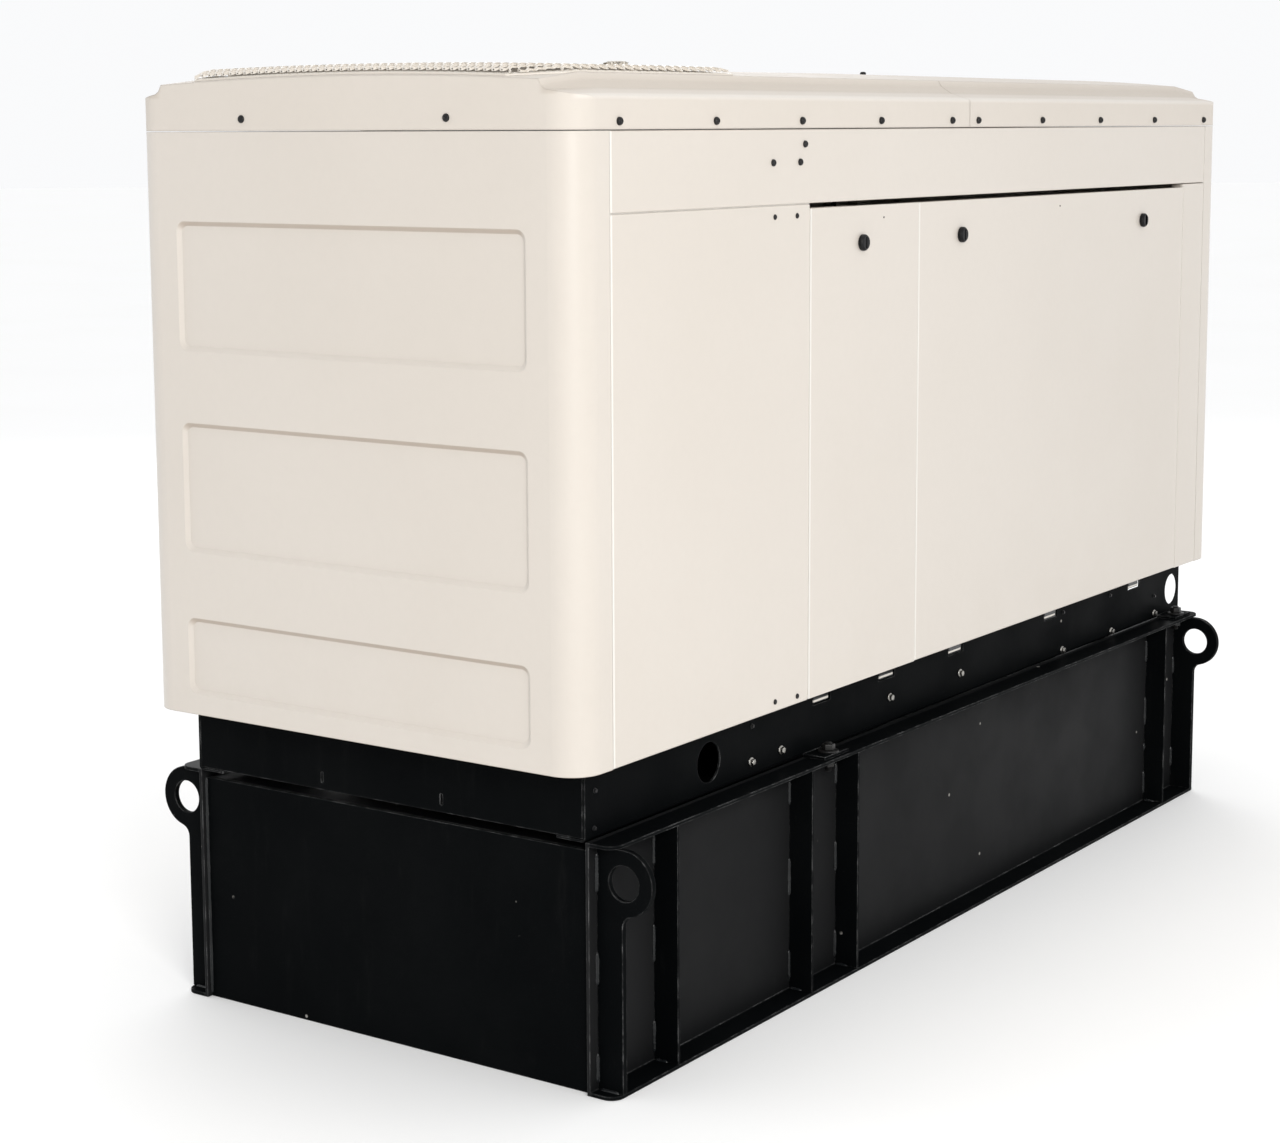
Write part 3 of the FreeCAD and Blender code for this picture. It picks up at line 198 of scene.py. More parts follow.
def powder_coat(name, a, b, dust, rough=0.42, soft=0.0, dark_under=None, corner_shade_at=(0.012, 0.62, 0.95, 0.62), down_shade=0.0, coat=0.45, spec=0.5, step=False, highlight_x=None):
    """Ivory powder coat: fine orange peel, slow tint drift, a little road dust low down, painted shade in inner
    corners, and optional painted shade and highlight strips.
    """
    n = Nodes(name)
    drift = n.ramp(n.noise(0.9, 4), 0.3, 0.7)
    col = n.mix(drift, a, b)
    fine = n.ramp(n.noise(55, 5, 0.65), 0.35, 0.7, 0.0, 0.08)
    col = n.mix(fine, col, [c * 0.86 for c in a])
    low = n.ramp(n.axis("Z"), 0.55, 0.90, 0.05, 0.0)
    dirt = n.math("MULTIPLY", low, n.ramp(n.noise(7, 6, 0.7), 0.38, 0.72))
    col = n.mix(dirt, col, dust)
    speck = n.ramp(n.voronoi(85), 0.035, 0.055, 0.20, 0.0)
    speck = n.math("MULTIPLY", speck, n.ramp(n.noise(4, 2), 0.56, 0.66))
    col = n.mix(speck, col, [c * 0.5 for c in dust])
    # painted shade: inner corners found by ambient occlusion are darkened toward brown
    if corner_shade_at:
        darkening = n.ramp(n.corner(corner_shade_at[0]), corner_shade_at[1], corner_shade_at[2], corner_shade_at[3], 0.0)
        col = n.mix(darkening, col, (0.36, 0.29, 0.215))
    if down_shade:
        # painted shade: down-facing slopes of the pressed panels are darkened toward brown
        split = n.t.nodes.new("ShaderNodeSeparateXYZ")
        n.link(n.rounded(soft), split.inputs[0])
        col = n.mix(n.ramp(split.outputs["Z"], -0.58, -0.12, down_shade, 0.0), col, (0.33, 0.245, 0.175))
    if highlight_x is not None:
        # painted highlight: a lighter strip along the folded leading edge, where light catches it
        highlight_strip = n.math("MULTIPLY", n.ramp(n.axis("X"), highlight_x - 0.002, highlight_x), n.ramp(n.axis("X"), highlight_x + 0.0042, highlight_x + 0.0060, 1.0, 0.0))
        col = n.mix(n.math("MULTIPLY", highlight_strip, 0.85), col, (0.80, 0.77, 0.72))
    if step:
        # painted shade: the step along the roof is darkened toward brown, and the rim outside it gets a lighter painted
        # highlight
        y = n.math("ABSOLUTE", n.axis("Y"))
        band = n.math("MULTIPLY", n.ramp(y, 0.430, 0.446), n.ramp(y, 0.460, 0.476, 1.0, 0.0))
        band = n.math("MULTIPLY", band, n.ramp(n.axis("Z"), 1.736, 1.742))
        col = n.mix(n.math("MULTIPLY", band, 0.25), col, (0.36, 0.29, 0.215))
        highlight_strip = n.math("MULTIPLY", n.ramp(y, 0.486, 0.498), n.ramp(n.axis("Z"), 1.728, 1.736))
        col = n.mix(n.math("MULTIPLY", highlight_strip, 0.5), col, (0.78, 0.74, 0.69))
    if dark_under is not None:
        # below this height the hooks are coloured near-black
        dip = n.ramp(n.axis("Z"), dark_under - 0.0006, dark_under + 0.0006, 1.0, 0.0)
        col = n.mix(dip, col, (0.004, 0.004, 0.0045))
        # painted highlight: a thin light band where the hooks bear on the rail
        hook_highlight = n.math("MULTIPLY", n.ramp(n.axis("Z"), 0.5592, 0.5596), n.ramp(n.axis("Z"), 0.5634, 0.5638, 1.0, 0.0))
        col = n.mix(hook_highlight, col, (0.78, 0.74, 0.67))
    r = n.math("ADD", n.ramp(n.noise(3, 4), 0.3, 0.7, rough - 0.05, rough + 0.06), n.ramp(n.noise(240, 2), 0.3, 0.7, -0.03, 0.03))
    peel = n.bump(n.noise(420, 2, 0.5), 0.14, 0.0006, n.rounded(soft) if soft else None)
    panel = n.bump(n.noise(1.9, 1, 0.4), 0.20, 0.010, peel)
    return n.done(col, r, 0.0, panel, Coat_Weight=coat, Coat_Roughness=0.22, Specular_IOR_Level=spec)


def black_paint(name, base=0.0024, rough=0.40, gloss=0.04, edge_wear_and_highlight=0.20, sheen_wall=None):
    """Satin black enamel over steel: dust film, rub marks, edges lightened partly by wear and partly as painted
    highlight, small chips to grey primer.
    """
    n = Nodes(name)
    film = n.ramp(n.noise(2.3, 6, 0.62), 0.36, 0.72)
    col = n.mix(film, (base, base * 1.22, base * 1.38), (base * 1.7, base * 1.95, base * 2.1))
    flat = n.scaled((1.0, 1.0, 0.16))
    if sheen_wall is not None:
        # painted sheen: the open face of the web is lightened to grey, and fades as painted shade towards the flanges
        # and gussets
        face = n.ramp(n.math("ABSOLUTE", n.axis("Y")), sheen_wall, sheen_wall + 0.004, 1.0, 0.0)
        face = n.math("MULTIPLY", face, n.ramp(n.noise(1.7, 3), 0.3, 0.7, 0.75, 1.0))
        face = n.math("MULTIPLY", face, n.ramp(n.corner(0.20), 0.45, 0.95, 0.30, 1.0))
        col = n.mix(face, col, (0.0165, 0.0168, 0.0174))
    run = n.ramp(n.noise(26, 6, 0.7, flat), 0.55, 0.8, 0.0, 0.10)
    col = n.mix(run, col, (0.030, 0.030, 0.029))
    scuff_v = n.scaled((0.5, 1.0, 7.0))
    scuff = n.ramp(n.noise(30, 8, 0.75, scuff_v, 0.4), 0.66, 0.74, 0.0, 0.45)
    scuff = n.math("MULTIPLY", scuff, n.ramp(n.noise(3.1, 3), 0.52, 0.64))
    col = n.mix(scuff, col, (0.075, 0.075, 0.075))
    chip = n.ramp(n.voronoi(17), 0.045, 0.075, 1.0, 0.0)
    chip = n.math("MULTIPLY", chip, n.ramp(n.noise(5.5, 3), 0.57, 0.62))
    col = n.mix(chip, col, (0.30, 0.29, 0.27))
    # edges lightened toward grey: partly wear, partly painted highlight
    worn_and_lit_edge = n.edge(0.0026, 0.985, 0.90)
    worn_and_lit_edge = n.math("MULTIPLY", worn_and_lit_edge, n.ramp(n.noise(23, 6, 0.75), 0.42, 0.66, 0.10, 1.0))
    col = n.mix(worn_and_lit_edge, col, (edge_wear_and_highlight, edge_wear_and_highlight * 1.01, edge_wear_and_highlight * 1.01))
    r = n.math("ADD", n.ramp(n.noise(6, 5), 0.3, 0.75, rough - 0.07, rough + 0.13), n.math("MULTIPLY", scuff, 0.25))
    r = n.math("ADD", r, n.math("MULTIPLY", chip, 0.3))
    peel = n.bump(n.noise(260, 3, 0.5), 0.22, 0.0007)
    plate = n.bump(n.noise(5.0, 2, 0.5), 0.30, 0.004, peel)
    return n.done(col, r, 0.0, plate, Specular_IOR_Level=gloss)


def cast(name, a, b, rough=0.6, metal=0.0, grain=0.5, spec=0.5):
    n = Nodes(name)
    col = n.mix(n.ramp(n.noise(14, 6, 0.65), 0.32, 0.7), a, b)
    darkening = n.ramp(n.noise(5, 5, 0.7), 0.5, 0.75, 0.0, 0.5)
    col = n.mix(darkening, col, [c * 0.45 for c in a])
    r = n.ramp(n.noise(20, 4), 0.3, 0.7, rough - 0.08, rough + 0.1)
    sand = n.bump(n.noise(330, 4, 0.6), grain, 0.0011)
    return n.done(col, r, metal, n.bump(n.noise(38, 3), 0.25, 0.002, sand), Specular_IOR_Level=spec)


def brushed(name, a, b, rough=0.34, stretch=(1.0, 1.0, 40.0), metal=1.0):
    n = Nodes(name)
    v = n.scaled(stretch)
    line = n.noise(60, 4, 0.6, v)
    col = n.mix(n.ramp(line, 0.3, 0.7), a, b)
    stain = n.ramp(n.noise(13, 5, 0.65), 0.5, 0.78, 0.0, 0.55)
    col = n.mix(stain, col, [c * 0.55 for c in a])
    r = n.math("ADD", n.ramp(line, 0.3, 0.7, rough - 0.07, rough + 0.08), n.math("MULTIPLY", stain, 0.25))
    return n.done(col, r, metal, n.bump(line, 0.12, 0.0004))


def moulded(name, a, b, rough=0.5, grain=0.35, scale=700, spec=0.5):
    n = Nodes(name)
    col = n.mix(n.ramp(n.noise(8, 4), 0.35, 0.7), a, b)
    dust = n.ramp(n.noise(22, 5, 0.7), 0.55, 0.8, 0.0, 0.3)
    col = n.mix(dust, col, [min(1.0, c + 0.05) for c in b])
    r = n.ramp(n.noise(17, 4), 0.3, 0.7, rough - 0.06, rough + 0.08)
    return n.done(col, r, 0.0, n.bump(n.voronoi(scale), grain, 0.0004), Specular_IOR_Level=spec)


def core_material(name):
    """Radiator core: fine horizontal fins between dark upright tubes."""
    n = Nodes(name)
    fins = n.wave(157, "Z")
    tubes = n.ramp(n.wave(16, "Y"), 0.62, 0.8)
    col = n.mix(n.ramp(fins, 0.3, 0.7), (0.006, 0.006, 0.007), (0.05, 0.05, 0.05))
    col = n.mix(tubes, col, (0.02, 0.02, 0.022))
    col = n.mix(n.ramp(n.noise(6, 5), 0.45, 0.7, 0.0, 0.3), col, (0.10, 0.09, 0.075))
    return n.done(col, n.ramp(n.noise(30, 3), 0.3, 0.7, 0.45, 0.62), 0.0, n.bump(fins, 0.6, 0.002))


def winding_material(name):
    n = Nodes(name)
    lam = n.wave(320, "X")
    col = n.mix(n.ramp(lam, 0.3, 0.7), (0.20, 0.055, 0.02), (0.42, 0.16, 0.05))
    col = n.mix(n.ramp(n.noise(18, 5), 0.45, 0.75, 0.0, 0.6), col, (0.08, 0.04, 0.025))
    return n.done(col, n.ramp(n.noise(30, 3), 0.3, 0.7, 0.25, 0.42), 0.0, n.bump(lam, 0.35, 0.0006), Coat_Weight=0.4, Coat_Roughness=0.2)


IVORY_A, IVORY_B, DUST = (0.643, 0.592, 0.533), (0.618, 0.566, 0.505), (0.44, 0.36, 0.27)
MATS = {
    "enclosure_paint": powder_coat("ivory_powder_coat", IVORY_A, IVORY_B, DUST),
    "base_paint": black_paint("satin_black_enamel", 0.0022, 0.42, 0.012),
    "zinc_hardware": brushed("zinc_plate", (0.30, 0.29, 0.27), (0.46, 0.45, 0.42), 0.30, (1, 1, 1)),
    "black_hardware": cast("black_oxide", (0.007, 0.007, 0.008), (0.016, 0.0155, 0.015), 0.34, 0.0, 0.15, 0.28),
    "latch_black": moulded("moulded_black", (0.0032, 0.0033, 0.0038), (0.0075, 0.0076, 0.008), 0.40, spec=0.16),
    "grille_paint": powder_coat("grille_powder_coat", (0.74, 0.69, 0.62), (0.71, 0.66, 0.59), DUST, 0.5, corner_shade_at=None),
    "engine_paint": cast("engine_enamel", (0.055, 0.064, 0.070), (0.085, 0.097, 0.104), 0.40, 0.0, 0.3),
    "cast_iron": cast("cast_iron", (0.085, 0.070, 0.060), (0.15, 0.13, 0.115), 0.72, 0.35, 0.7),
    "aluminium": cast("die_cast_aluminium", (0.40, 0.40, 0.40), (0.52, 0.52, 0.515), 0.42, 0.85, 0.3),
    "steel": brushed("machined_steel", (0.40, 0.395, 0.38), (0.56, 0.55, 0.53), 0.32, (40, 1, 1)),
    "exhaust_steel": brushed("aluminised_steel", (0.22, 0.18, 0.145), (0.36, 0.32, 0.28), 0.46, (1, 12, 1)),
    "rubber": moulded("black_rubber", (0.012, 0.012, 0.012), (0.026, 0.025, 0.024), 0.68, 0.25, 500),
    "radiator_black": core_material("radiator_core_black"),
    "fan_plastic": moulded("fan_nylon", (0.016, 0.016, 0.017), (0.03, 0.03, 0.032), 0.46),
    "galvanised": brushed("galvanised_sheet", (0.40, 0.41, 0.42), (0.58, 0.59, 0.60), 0.42, (1, 1, 1)),
    "control_grey": moulded("textured_grey", (0.27, 0.275, 0.28), (0.33, 0.335, 0.335), 0.48, 0.5, 420),
    "estop_red": moulded("signal_red", (0.46, 0.010, 0.008), (0.58, 0.018, 0.012), 0.30, 0.05, 500),
    "copper_winding": winding_material("varnished_winding"),
    "battery_case": moulded("battery_polypropylene", (0.014, 0.014, 0.016), (0.03, 0.03, 0.033), 0.38, 0.3, 380),
}

# painted shade and highlight: the roof paint darkens its step and inner corners and lightens the rim outside the step;
# the end-cap paint darkens down-facing slopes; the door and fixed-panel paints carry a lighter strip along the leading
# edge
ROOF = powder_coat("ivory_powder_coat_roof", IVORY_A, IVORY_B, DUST, 0.54, soft=0.006, corner_shade_at=(0.045, 0.50, 0.98, 0.22), coat=0.0, spec=0.27, step=True)
END = powder_coat("ivory_powder_coat_end", IVORY_A, IVORY_B, DUST, soft=0.0028, corner_shade_at=(0.012, 0.45, 0.80, 0.62), down_shade=0.60)
DOOR = powder_coat("ivory_powder_coat_door", IVORY_A, IVORY_B, DUST, dark_under=0.5795, highlight_x=-0.1965)
FIXED = powder_coat("ivory_powder_coat_fixed", IVORY_A, IVORY_B, DUST, highlight_x=-1.2665)
EDGE_HIGHLIGHT = powder_coat("ivory_powder_coat_edge_highlight", (0.80, 0.765, 0.71), (0.78, 0.745, 0.69), DUST, corner_shade_at=None)
DOOR_S = powder_coat("ivory_powder_coat_small_door", IVORY_A, IVORY_B, DUST, soft=0.0028, dark_under=0.5795, highlight_x=-0.6194)
TANK_WALL = black_paint("tank_wall_enamel", 0.0026, 0.42, 0.085)
SIDE_WALL = black_paint("side_channel_enamel", 0.0024, 0.42, 0.020, sheen_wall=0.4662)
WELD = black_paint("welded_enamel", 0.0060, 0.24, 0.30, 0.12)
CAP = powder_coat("pale_moulded_cap", (0.74, 0.70, 0.64), (0.71, 0.67, 0.60), DUST, 0.55, corner_shade_at=None, coat=0.0)
PAINT_OF = {"coolant_fill_cap": CAP, "fixed_side_panels": FIXED, "header_rails": FIXED, "roof_front": ROOF, "roof_rear": ROOF, "end_cap_front": END, "end_cap_rear": END, "tank_shell": TANK_WALL, "tank_side_channels": SIDE_WALL}
for _s in ("left", "right"):
    PAINT_OF["small_door_" + _s], PAINT_OF["large_door_" + _s] = DOOR_S, DOOR


# ------------------------------------------------------------------ CAD nodes kept as they are
def finish_node(name, width, segs=2, limit=28, weight=60):
    o = NODES[name]
    me = o.data
    me.materials.clear()
    me.materials.append(PAINT_OF.get(name, MATS[SLOT_OF[name]]))
    if name.startswith("roof_") or name.startswith("end_cap_"):
        return o
    for a in ("custom_normal",):
        if a in me.attributes:
            me.attributes.remove(me.attributes[a])
    for p in me.polygons:
        p.use_smooth = True
    w = o.modifiers.new("join", "WELD")
    w.merge_threshold = 0.00002
    d = o.modifiers.new("flats", "DECIMATE")
    d.decimate_type = "DISSOLVE"
    d.angle_limit = math.radians(0.7)
    if width > 0 and not name.startswith("small_door"):
        b = o.modifiers.new("edges", "BEVEL")
        b.width = width
        b.segments = segs
        b.limit_method = "ANGLE"
        b.angle_limit = math.radians(limit)
        b.use_clamp_overlap = False
        b.miter_outer = "MITER_ARC"
        b.harden_normals = False
    n = o.modifiers.new("shade", "WEIGHTED_NORMAL")
    n.keep_sharp = False
    n.weight = weight
    return o


BEVEL = {"enclosure_paint": 0.0022, "base_paint": 0.0012, "zinc_hardware": 0.0006, "black_hardware": 0.0, "latch_black": 0.0006,
         "grille_paint": 0.0010, "radiator_black": 0.0015, "engine_paint": 0.003, "cast_iron": 0.0025}
for node in NODES:
    sheet = "_door_" in node or node in ("fixed_side_panels", "header_rails")
    finish_node(node, 0.0028 if sheet else BEVEL.get(SLOT_OF[node], 0.001), 3 if sheet else 2, weight=100 if sheet else 60)

# ------------------------------------------------------------------ mesh helpers
def new_piece(name, bm, slot, body=ROOT, smooth=True, bevel=0.0, segs=2, limit=30, weighted=True, mat=None):
    """Object from a bmesh, with its material slot, riding on a body."""
    me = bpy.data.meshes.new(name)
    bmesh.ops.recalc_face_normals(bm, faces=bm.faces)
    bm.to_mesh(me)
    bm.free()
    for p in me.polygons:
        p.use_smooth = smooth
    me.materials.append(mat or MATS[slot])
    o = bpy.data.objects.new(name, me)
    scene.collection.objects.link(o)
    if bevel:
        b = o.modifiers.new("edges", "BEVEL")
        b.width = bevel
        b.segments = segs
        b.limit_method = "ANGLE"
        b.angle_limit = math.radians(limit)
        b.use_clamp_overlap = False
    if weighted:
        n = o.modifiers.new("shade", "WEIGHTED_NORMAL")
        n.weight = 60
    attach(o, body)
    return o


def add_box(bm, lo, hi):
    v = [bm.verts.new((x, y, z)) for x in (lo[0], hi[0]) for y in (lo[1], hi[1]) for z in (lo[2], hi[2])]
    for f in ((0, 1, 3, 2), (4, 6, 7, 5), (0, 4, 5, 1), (2, 3, 7, 6), (0, 2, 6, 4), (1, 5, 7, 3)):
        bm.faces.new([v[i] for i in f])
    return v


def frame_of(at, out):
    """Matrix whose Z is out, at a point."""
    z = Vector(out).normalized()
    x = z.orthogonal().normalized()
    if abs(z.z) < 0.9:
        x = Vector((0, 0, 1)).cross(z).normalized()
    y = z.cross(x)
    m = Matrix((x, y, z)).transposed().to_4x4()
    m.translation = Vector(at)
    return m


def lathe(bm, m, prof, n=24, turn=0.0):
    """Turned form about the local Z of matrix m; prof is (radius, height) from outside to axis or back."""
    rings = []
    for r, h in prof:
        if r < 1e-7:
            rings.append([bm.verts.new(m @ Vector((0, 0, h)))])
        else:
            rings.append([bm.verts.new(m @ Vector((r * math.cos(turn + 2 * math.pi * i / n), r * math.sin(turn + 2 * math.pi * i / n), h)))
                          for i in range(n)])
    for a, b in zip(rings, rings[1:]):
        if len(a) == 1 and len(b) == 1:
            continue
        for i in range(n):
            j = (i + 1) % n
            if len(a) == 1:
                bm.faces.new((a[0], b[i], b[j]))
            elif len(b) == 1:
                bm.faces.new((a[j], a[i], b[0]))
            else:
                bm.faces.new((a[i], b[i], b[j], a[j]))
    return rings


def screw_head(bm, at, out, r=0.0068, h=0.0040, socket=0.0027):
    """Button head with a six-sided socket."""
    m = frame_of(at, out)
    prof = [(0.0, -0.0004), (r * 0.98, -0.0004), (r, 0.0006), (r * 0.97, h * 0.45), (r * 0.86, h * 0.74), (r * 0.66, h * 0.93), (r * 0.47, h)]
    rings = lathe(bm, m, prof, 24)
    top = rings[-1]
    hexa = [bm.verts.new(m @ Vector((socket * math.cos(math.pi * i / 3), socket * math.sin(math.pi * i / 3), h * 0.98))) for i in range(6)]
    low = [bm.verts.new(m @ Vector((socket * math.cos(math.pi * i / 3), socket * math.sin(math.pi * i / 3), h * 0.30))) for i in range(6)]
    for i in range(6):
        j = (i + 1) % 6
        k = i * 4
        bm.faces.new((top[k % 24], top[(k + 1) % 24], top[(k + 2) % 24], hexa[i]))
        bm.faces.new((top[(k + 2) % 24], top[(k + 3) % 24], top[(k + 4) % 24], hexa[j], hexa[i]))
        bm.faces.new((hexa[i], hexa[j], low[j], low[i]))
    bm.faces.new(list(reversed(low)))


def hex_bolt(bm, at, out, af=0.016, head=0.0085, flange=0.0125, ft=0.0026, turn=0.2):
    """Flange bolt: washer face, dished flange, chamfered hexagon with a domed top."""
    m = frame_of(at, out)
    lathe(bm, m, [(0.0, 0.0), (flange, 0.0), (flange, ft * 0.45), (flange * 0.93, ft * 0.75), (af * 0.56, ft * 1.3), (0.0, ft * 1.3)], 28)
    r = af / math.sqrt(3)
    zs = [(r, ft * 0.9), (r, head * 0.82), (r * 0.90, head * 0.97), (r * 0.5, head), (0.0, head * 0.97)]
    lathe(bm, m, zs, 6, turn)


def nut(bm, at, out, af, h, turn=0.0):
    m = frame_of(at, out)
    r = af / math.sqrt(3)
    lathe(bm, m, [(0.0, 0.0), (r * 0.9, 0.0), (r, h * 0.14), (r, h * 0.86), (r * 0.9, h), (0.0, h)], 6, turn)


def thread(bm, at, out, r, length, pitch=0.002):
    """Threaded end: rounded crests one after another."""
    m = frame_of(at, out)
    prof = [(0.0, 0.0), (r * 0.9, 0.0)]
    k = int(length / pitch)
    for i in range(k):
        z = i * pitch
        prof += [(r * 0.88, z + pitch * 0.1), (r, z + pitch * 0.42), (r, z + pitch * 0.6), (r * 0.88, z + pitch * 0.95)]
    prof += [(r * 0.8, length), (0.0, length)]
    lathe(bm, m, prof, 20)


def bead(bm, p0, p1, n1, n2, size=0.0042, seed=0, start_stop=True):
    """Weld bead along a corner from p0 to p1; n1 and n2 are the faces' outward directions."""
    rnd = random.Random(seed)
    p0, p1, n1, n2 = Vector(p0), Vector(p1), Vector(n1).normalized(), Vector(n2).normalized()
    d = p1 - p0
    length = d.length
    step = size * 0.55
    k = max(4, int(length / step))
    prev = None
    for i in range(k + 1):
        t = i / k
        w = size * (0.9 + 0.22 * rnd.random())
        w *= 1.0 if i % 2 else 0.84
        e = min(1.0, (t * length + 0.0008) / (size * 1.4), ((1 - t) * length + 0.0008) / (size * 1.4)) if start_stop else 1.0
        w *= max(0.25, math.sqrt(e))
        c = p0 + d * t
        ring = []
        for a in (0.0, 0.2, 0.42, 0.58, 0.8, 1.0):
            ang = a * math.pi / 2
            q = c + n1 * (w * math.cos(ang)) * (1.0 if a in (0.0, 1.0) else 0.86) + n2 * (w * math.sin(ang)) * (1.0 if a in (0.0, 1.0) else 0.86)
            ring.append(bm.verts.new(q))
        ring.append(bm.verts.new(c - (n1 + n2) * 0.0005))
        if prev:
            for s in range(len(ring)):
                s2 = (s + 1) % len(ring)
                bm.faces.new((prev[s], prev[s2], ring[s2], ring[s]))
        else:
            bm.faces.new(list(reversed(ring)))
        prev = ring
    bm.faces.new(prev)


# ------------------------------------------------------------------ tank: welds
W = []
WALL, XL = 0.465, 1.260
for sy in (-1, 1):
    y = sy * WALL
    for sx in (-1, 1):
        for z0, z1 in ((0.365, 0.437), (0.197, 0.257), (0.018, 0.073)):
            W.append(((sx * XL, y, z0), (sx * XL, y, z1), (sx, 0, 0), (0, sy, 0), 0.0055))
        for z0, z1 in ((0.300, 0.345), (0.060, 0.110)):
            W.append(((sx * (XL - 0.012), y, z0), (sx * (XL - 0.012), y, z1), (-sx, 0, 0), (0, sy, 0), 0.005))
    for x, runs in ((-1.082, ((0.372, 0.428), (0.190, 0.262), (0.020, 0.080))), (-0.615, ((0.376, 0.426), (0.195, 0.270), (0.023, 0.084))),
                    (-0.438, ((0.380, 0.425), (0.200, 0.262), (0.022, 0.078))), (1.082, ((0.199, 0.270), (0.135, 0.153), (0.024, 0.081), (0.360, 0.415)))):
        for sx in (-1, 1):
            xx = x + sx * 0.003
            for i, (z0, z1) in enumerate(runs):
                s = 0.012 if sx > 0 else 0.0
                W.append(((xx, y, z0 + s), (xx, y, z1 - s), (sx, 0, 0), (0, sy, 0), 0.0048))
            W.append(((xx, y + sy * 0.004, 0.007), (xx, y + sy * 0.030, 0.007), (sx, 0, 0), (0, 0, 1), 0.004))
            W.append(((xx, y + sy * 0.004, 0.451), (xx, y + sy * 0.026, 0.451), (sx, 0, 0), (0, 0, -1), 0.004))
    # end panels: long beads up the inside corners, and the lug necks on the lower flange
    for sx in (-1, 1):
        W.append(((sx * 1.271, sy * 0.4578, 0.006), (sx * 1.271, sy * 0.4578, 0.440), (sx, 0, 0), (0, -sy, 0), 0.0048))
        W.append(((sx * XL, y + sy * 0.006, 0.007), (sx * XL, y + sy * 0.046, 0.007), (sx, 0, 0), (0, 0, 1), 0.0045))
bm = bmesh.new()
for i, (a, b, n1, n2, s) in enumerate(W):
    bead(bm, a, b, n1, n2, s, 17 + i)
new_piece("tank_weld_beads", bm, "base_paint", weighted=False, mat=WELD)

# ------------------------------------------------------------------ fasteners
SCREWS = [((x / 1000, s * 0.508, 1.694), (0, s, 0), 0.0072) for x in (-1240, -944, -652, -355, -61, 54, 355, 653, 955, 1252) for s in (-1, 1)]
SCREWS += [((s * 1.363, y, 1.701), (s, 0, 0), 0.0072) for y in (-0.238, 0.233) for s in (-1, 1)]
SCREWS += [((x / 1000, s * 0.508, z / 1000), (0, s, 0), 0.0052)
           for x, z in ((-746, 1519), (-668, 1519), (-741, 610), (-661, 606)) for s in (-1, 1)]
SCREWS += [((x / 1000, s * 0.508, z / 1000), (0, s, 0), 0.0066) for x, z in ((-753, 1618), (-658, 1618), (-641, 1651)) for s in (-1, 1)]
bm = bmesh.new()
for at, out, rr in SCREWS:
    screw_head(bm, at, out, rr, (0.0038 if abs(out[0]) else 0.0066) if rr > 0.007 else (0.0052 if at[2] > 1.55 else 0.0028), rr * 0.4)
for door_name, x, z in (("small_door", -0.340, 1.506), ("large_door", 0.453, 1.506)):
    for side, s in (("left", -1), ("right", 1)):
        b2 = bmesh.new()
        lathe(b2, frame_of((x, s * 0.508, z), (0, s, 0)), [(0.0, -0.0004), (0.0021, -0.0004), (0.0021, 0.0003), (0.0014, 0.0009), (0.0, 0.0011)], 16)
        new_piece("%s_%s_stop_rivet" % (door_name, side), b2, "black_hardware", "%s_%s" % (door_name, side), weighted=False)
m4 = frame_of((0.460, 0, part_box("roof_rear")[1].z - 0.0005), (0, 0, 1))
lathe(bm, m4, [(0.0, 0.0), (0.0105, 0.0), (0.0105, 0.0012), (0.0072, 0.002), (0.0070, 0.0065), (0.0062, 0.0084), (0.0040, 0.0096), (0.0, 0.0099)], 24)
heads = new_piece("button_head_screws", bm, "black_hardware", weighted=False)
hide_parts("enclosure_fasteners")

WEB = [(-749, 489), (-641, 490), (-212, 513), (98, 508), (607, 471), (880, 470), (1135, 473),
       (-1256, 545), (-1259, 478), (-746, 558), (869, 560), (609, 560), (1133, 517)]
bm = bmesh.new()
for i, (x, z) in enumerate(WEB):
    for s in (-1, 1):
        if i < 7:
            hex_bolt(bm, (x / 1000, s * 0.460, z / 1000), (0, s, 0), 0.0118, 0.0080, 0.0092, 0.0022, 0.3 * i)
bolts = new_piece("skid_web_bolts", bm, "zinc_hardware", bevel=0.0004, segs=1, limit=40)
bm = bmesh.new()
for i, (x, z) in enumerate(WEB[7:]):
    for s in (-1, 1):
        hex_bolt(bm, (x / 1000, s * 0.460, z / 1000), (0, s, 0), 0.0070, 0.0042, 0.0050, 0.0010, 0.5 * i)
for x in (-0.512, 1.200):
    for s in (-1, 1):
        y = s * 0.490
        for z, up in ((0.465, 1), (0.451, -1)):
            m4 = frame_of((x, y, z), (0, 0, up))
            lathe(bm, m4, [(0.0, 0.0), (0.0205, 0.0), (0.0208, 0.0008), (0.0208, 0.0026), (0.020, 0.0034), (0.010, 0.0034), (0.0, 0.0034)], 30)
            nut(bm, (x, y, z + up * 0.0034), (0, 0, up), 0.0238, 0.0125, 0.35)
        thread(bm, (x, y, 0.451 - 0.0150), (0, 0, -1), 0.0073, 0.0105)
        thread(bm, (x, y, 0.465 + 0.0150), (0, 0, 1), 0.0073, 0.0040)
clamps = new_piece("flange_clamp_bolts_and_nuts", bm, "black_hardware", bevel=0.0004, segs=1, limit=40)
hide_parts("base_bolts")

# ------------------------------------------------------------------ expanded metal on the roof outlet
def grille_top(x, y):
    """Height of the tray's domed top, as the CAD gives it."""
    pts = ((-1.351, 1.784, 1.790), (-1.248, 1.7845, 1.7925), (-0.763, 1.785, 1.7975))
    for (xa, ea, ca), (xb, eb, cb) in zip(pts, pts[1:]):
        if x <= xb or xb == pts[-1][0]:
            t = (x - xa) / (xb - xa)
            e, c = ea + (eb - ea) * t, ca + (cb - ca) * t
            break
    return c - (c - e) * (y / 0.428) ** 2


GX0, GX1, GY, GCUT = -1.351, -0.763, 0.428, 0.0716


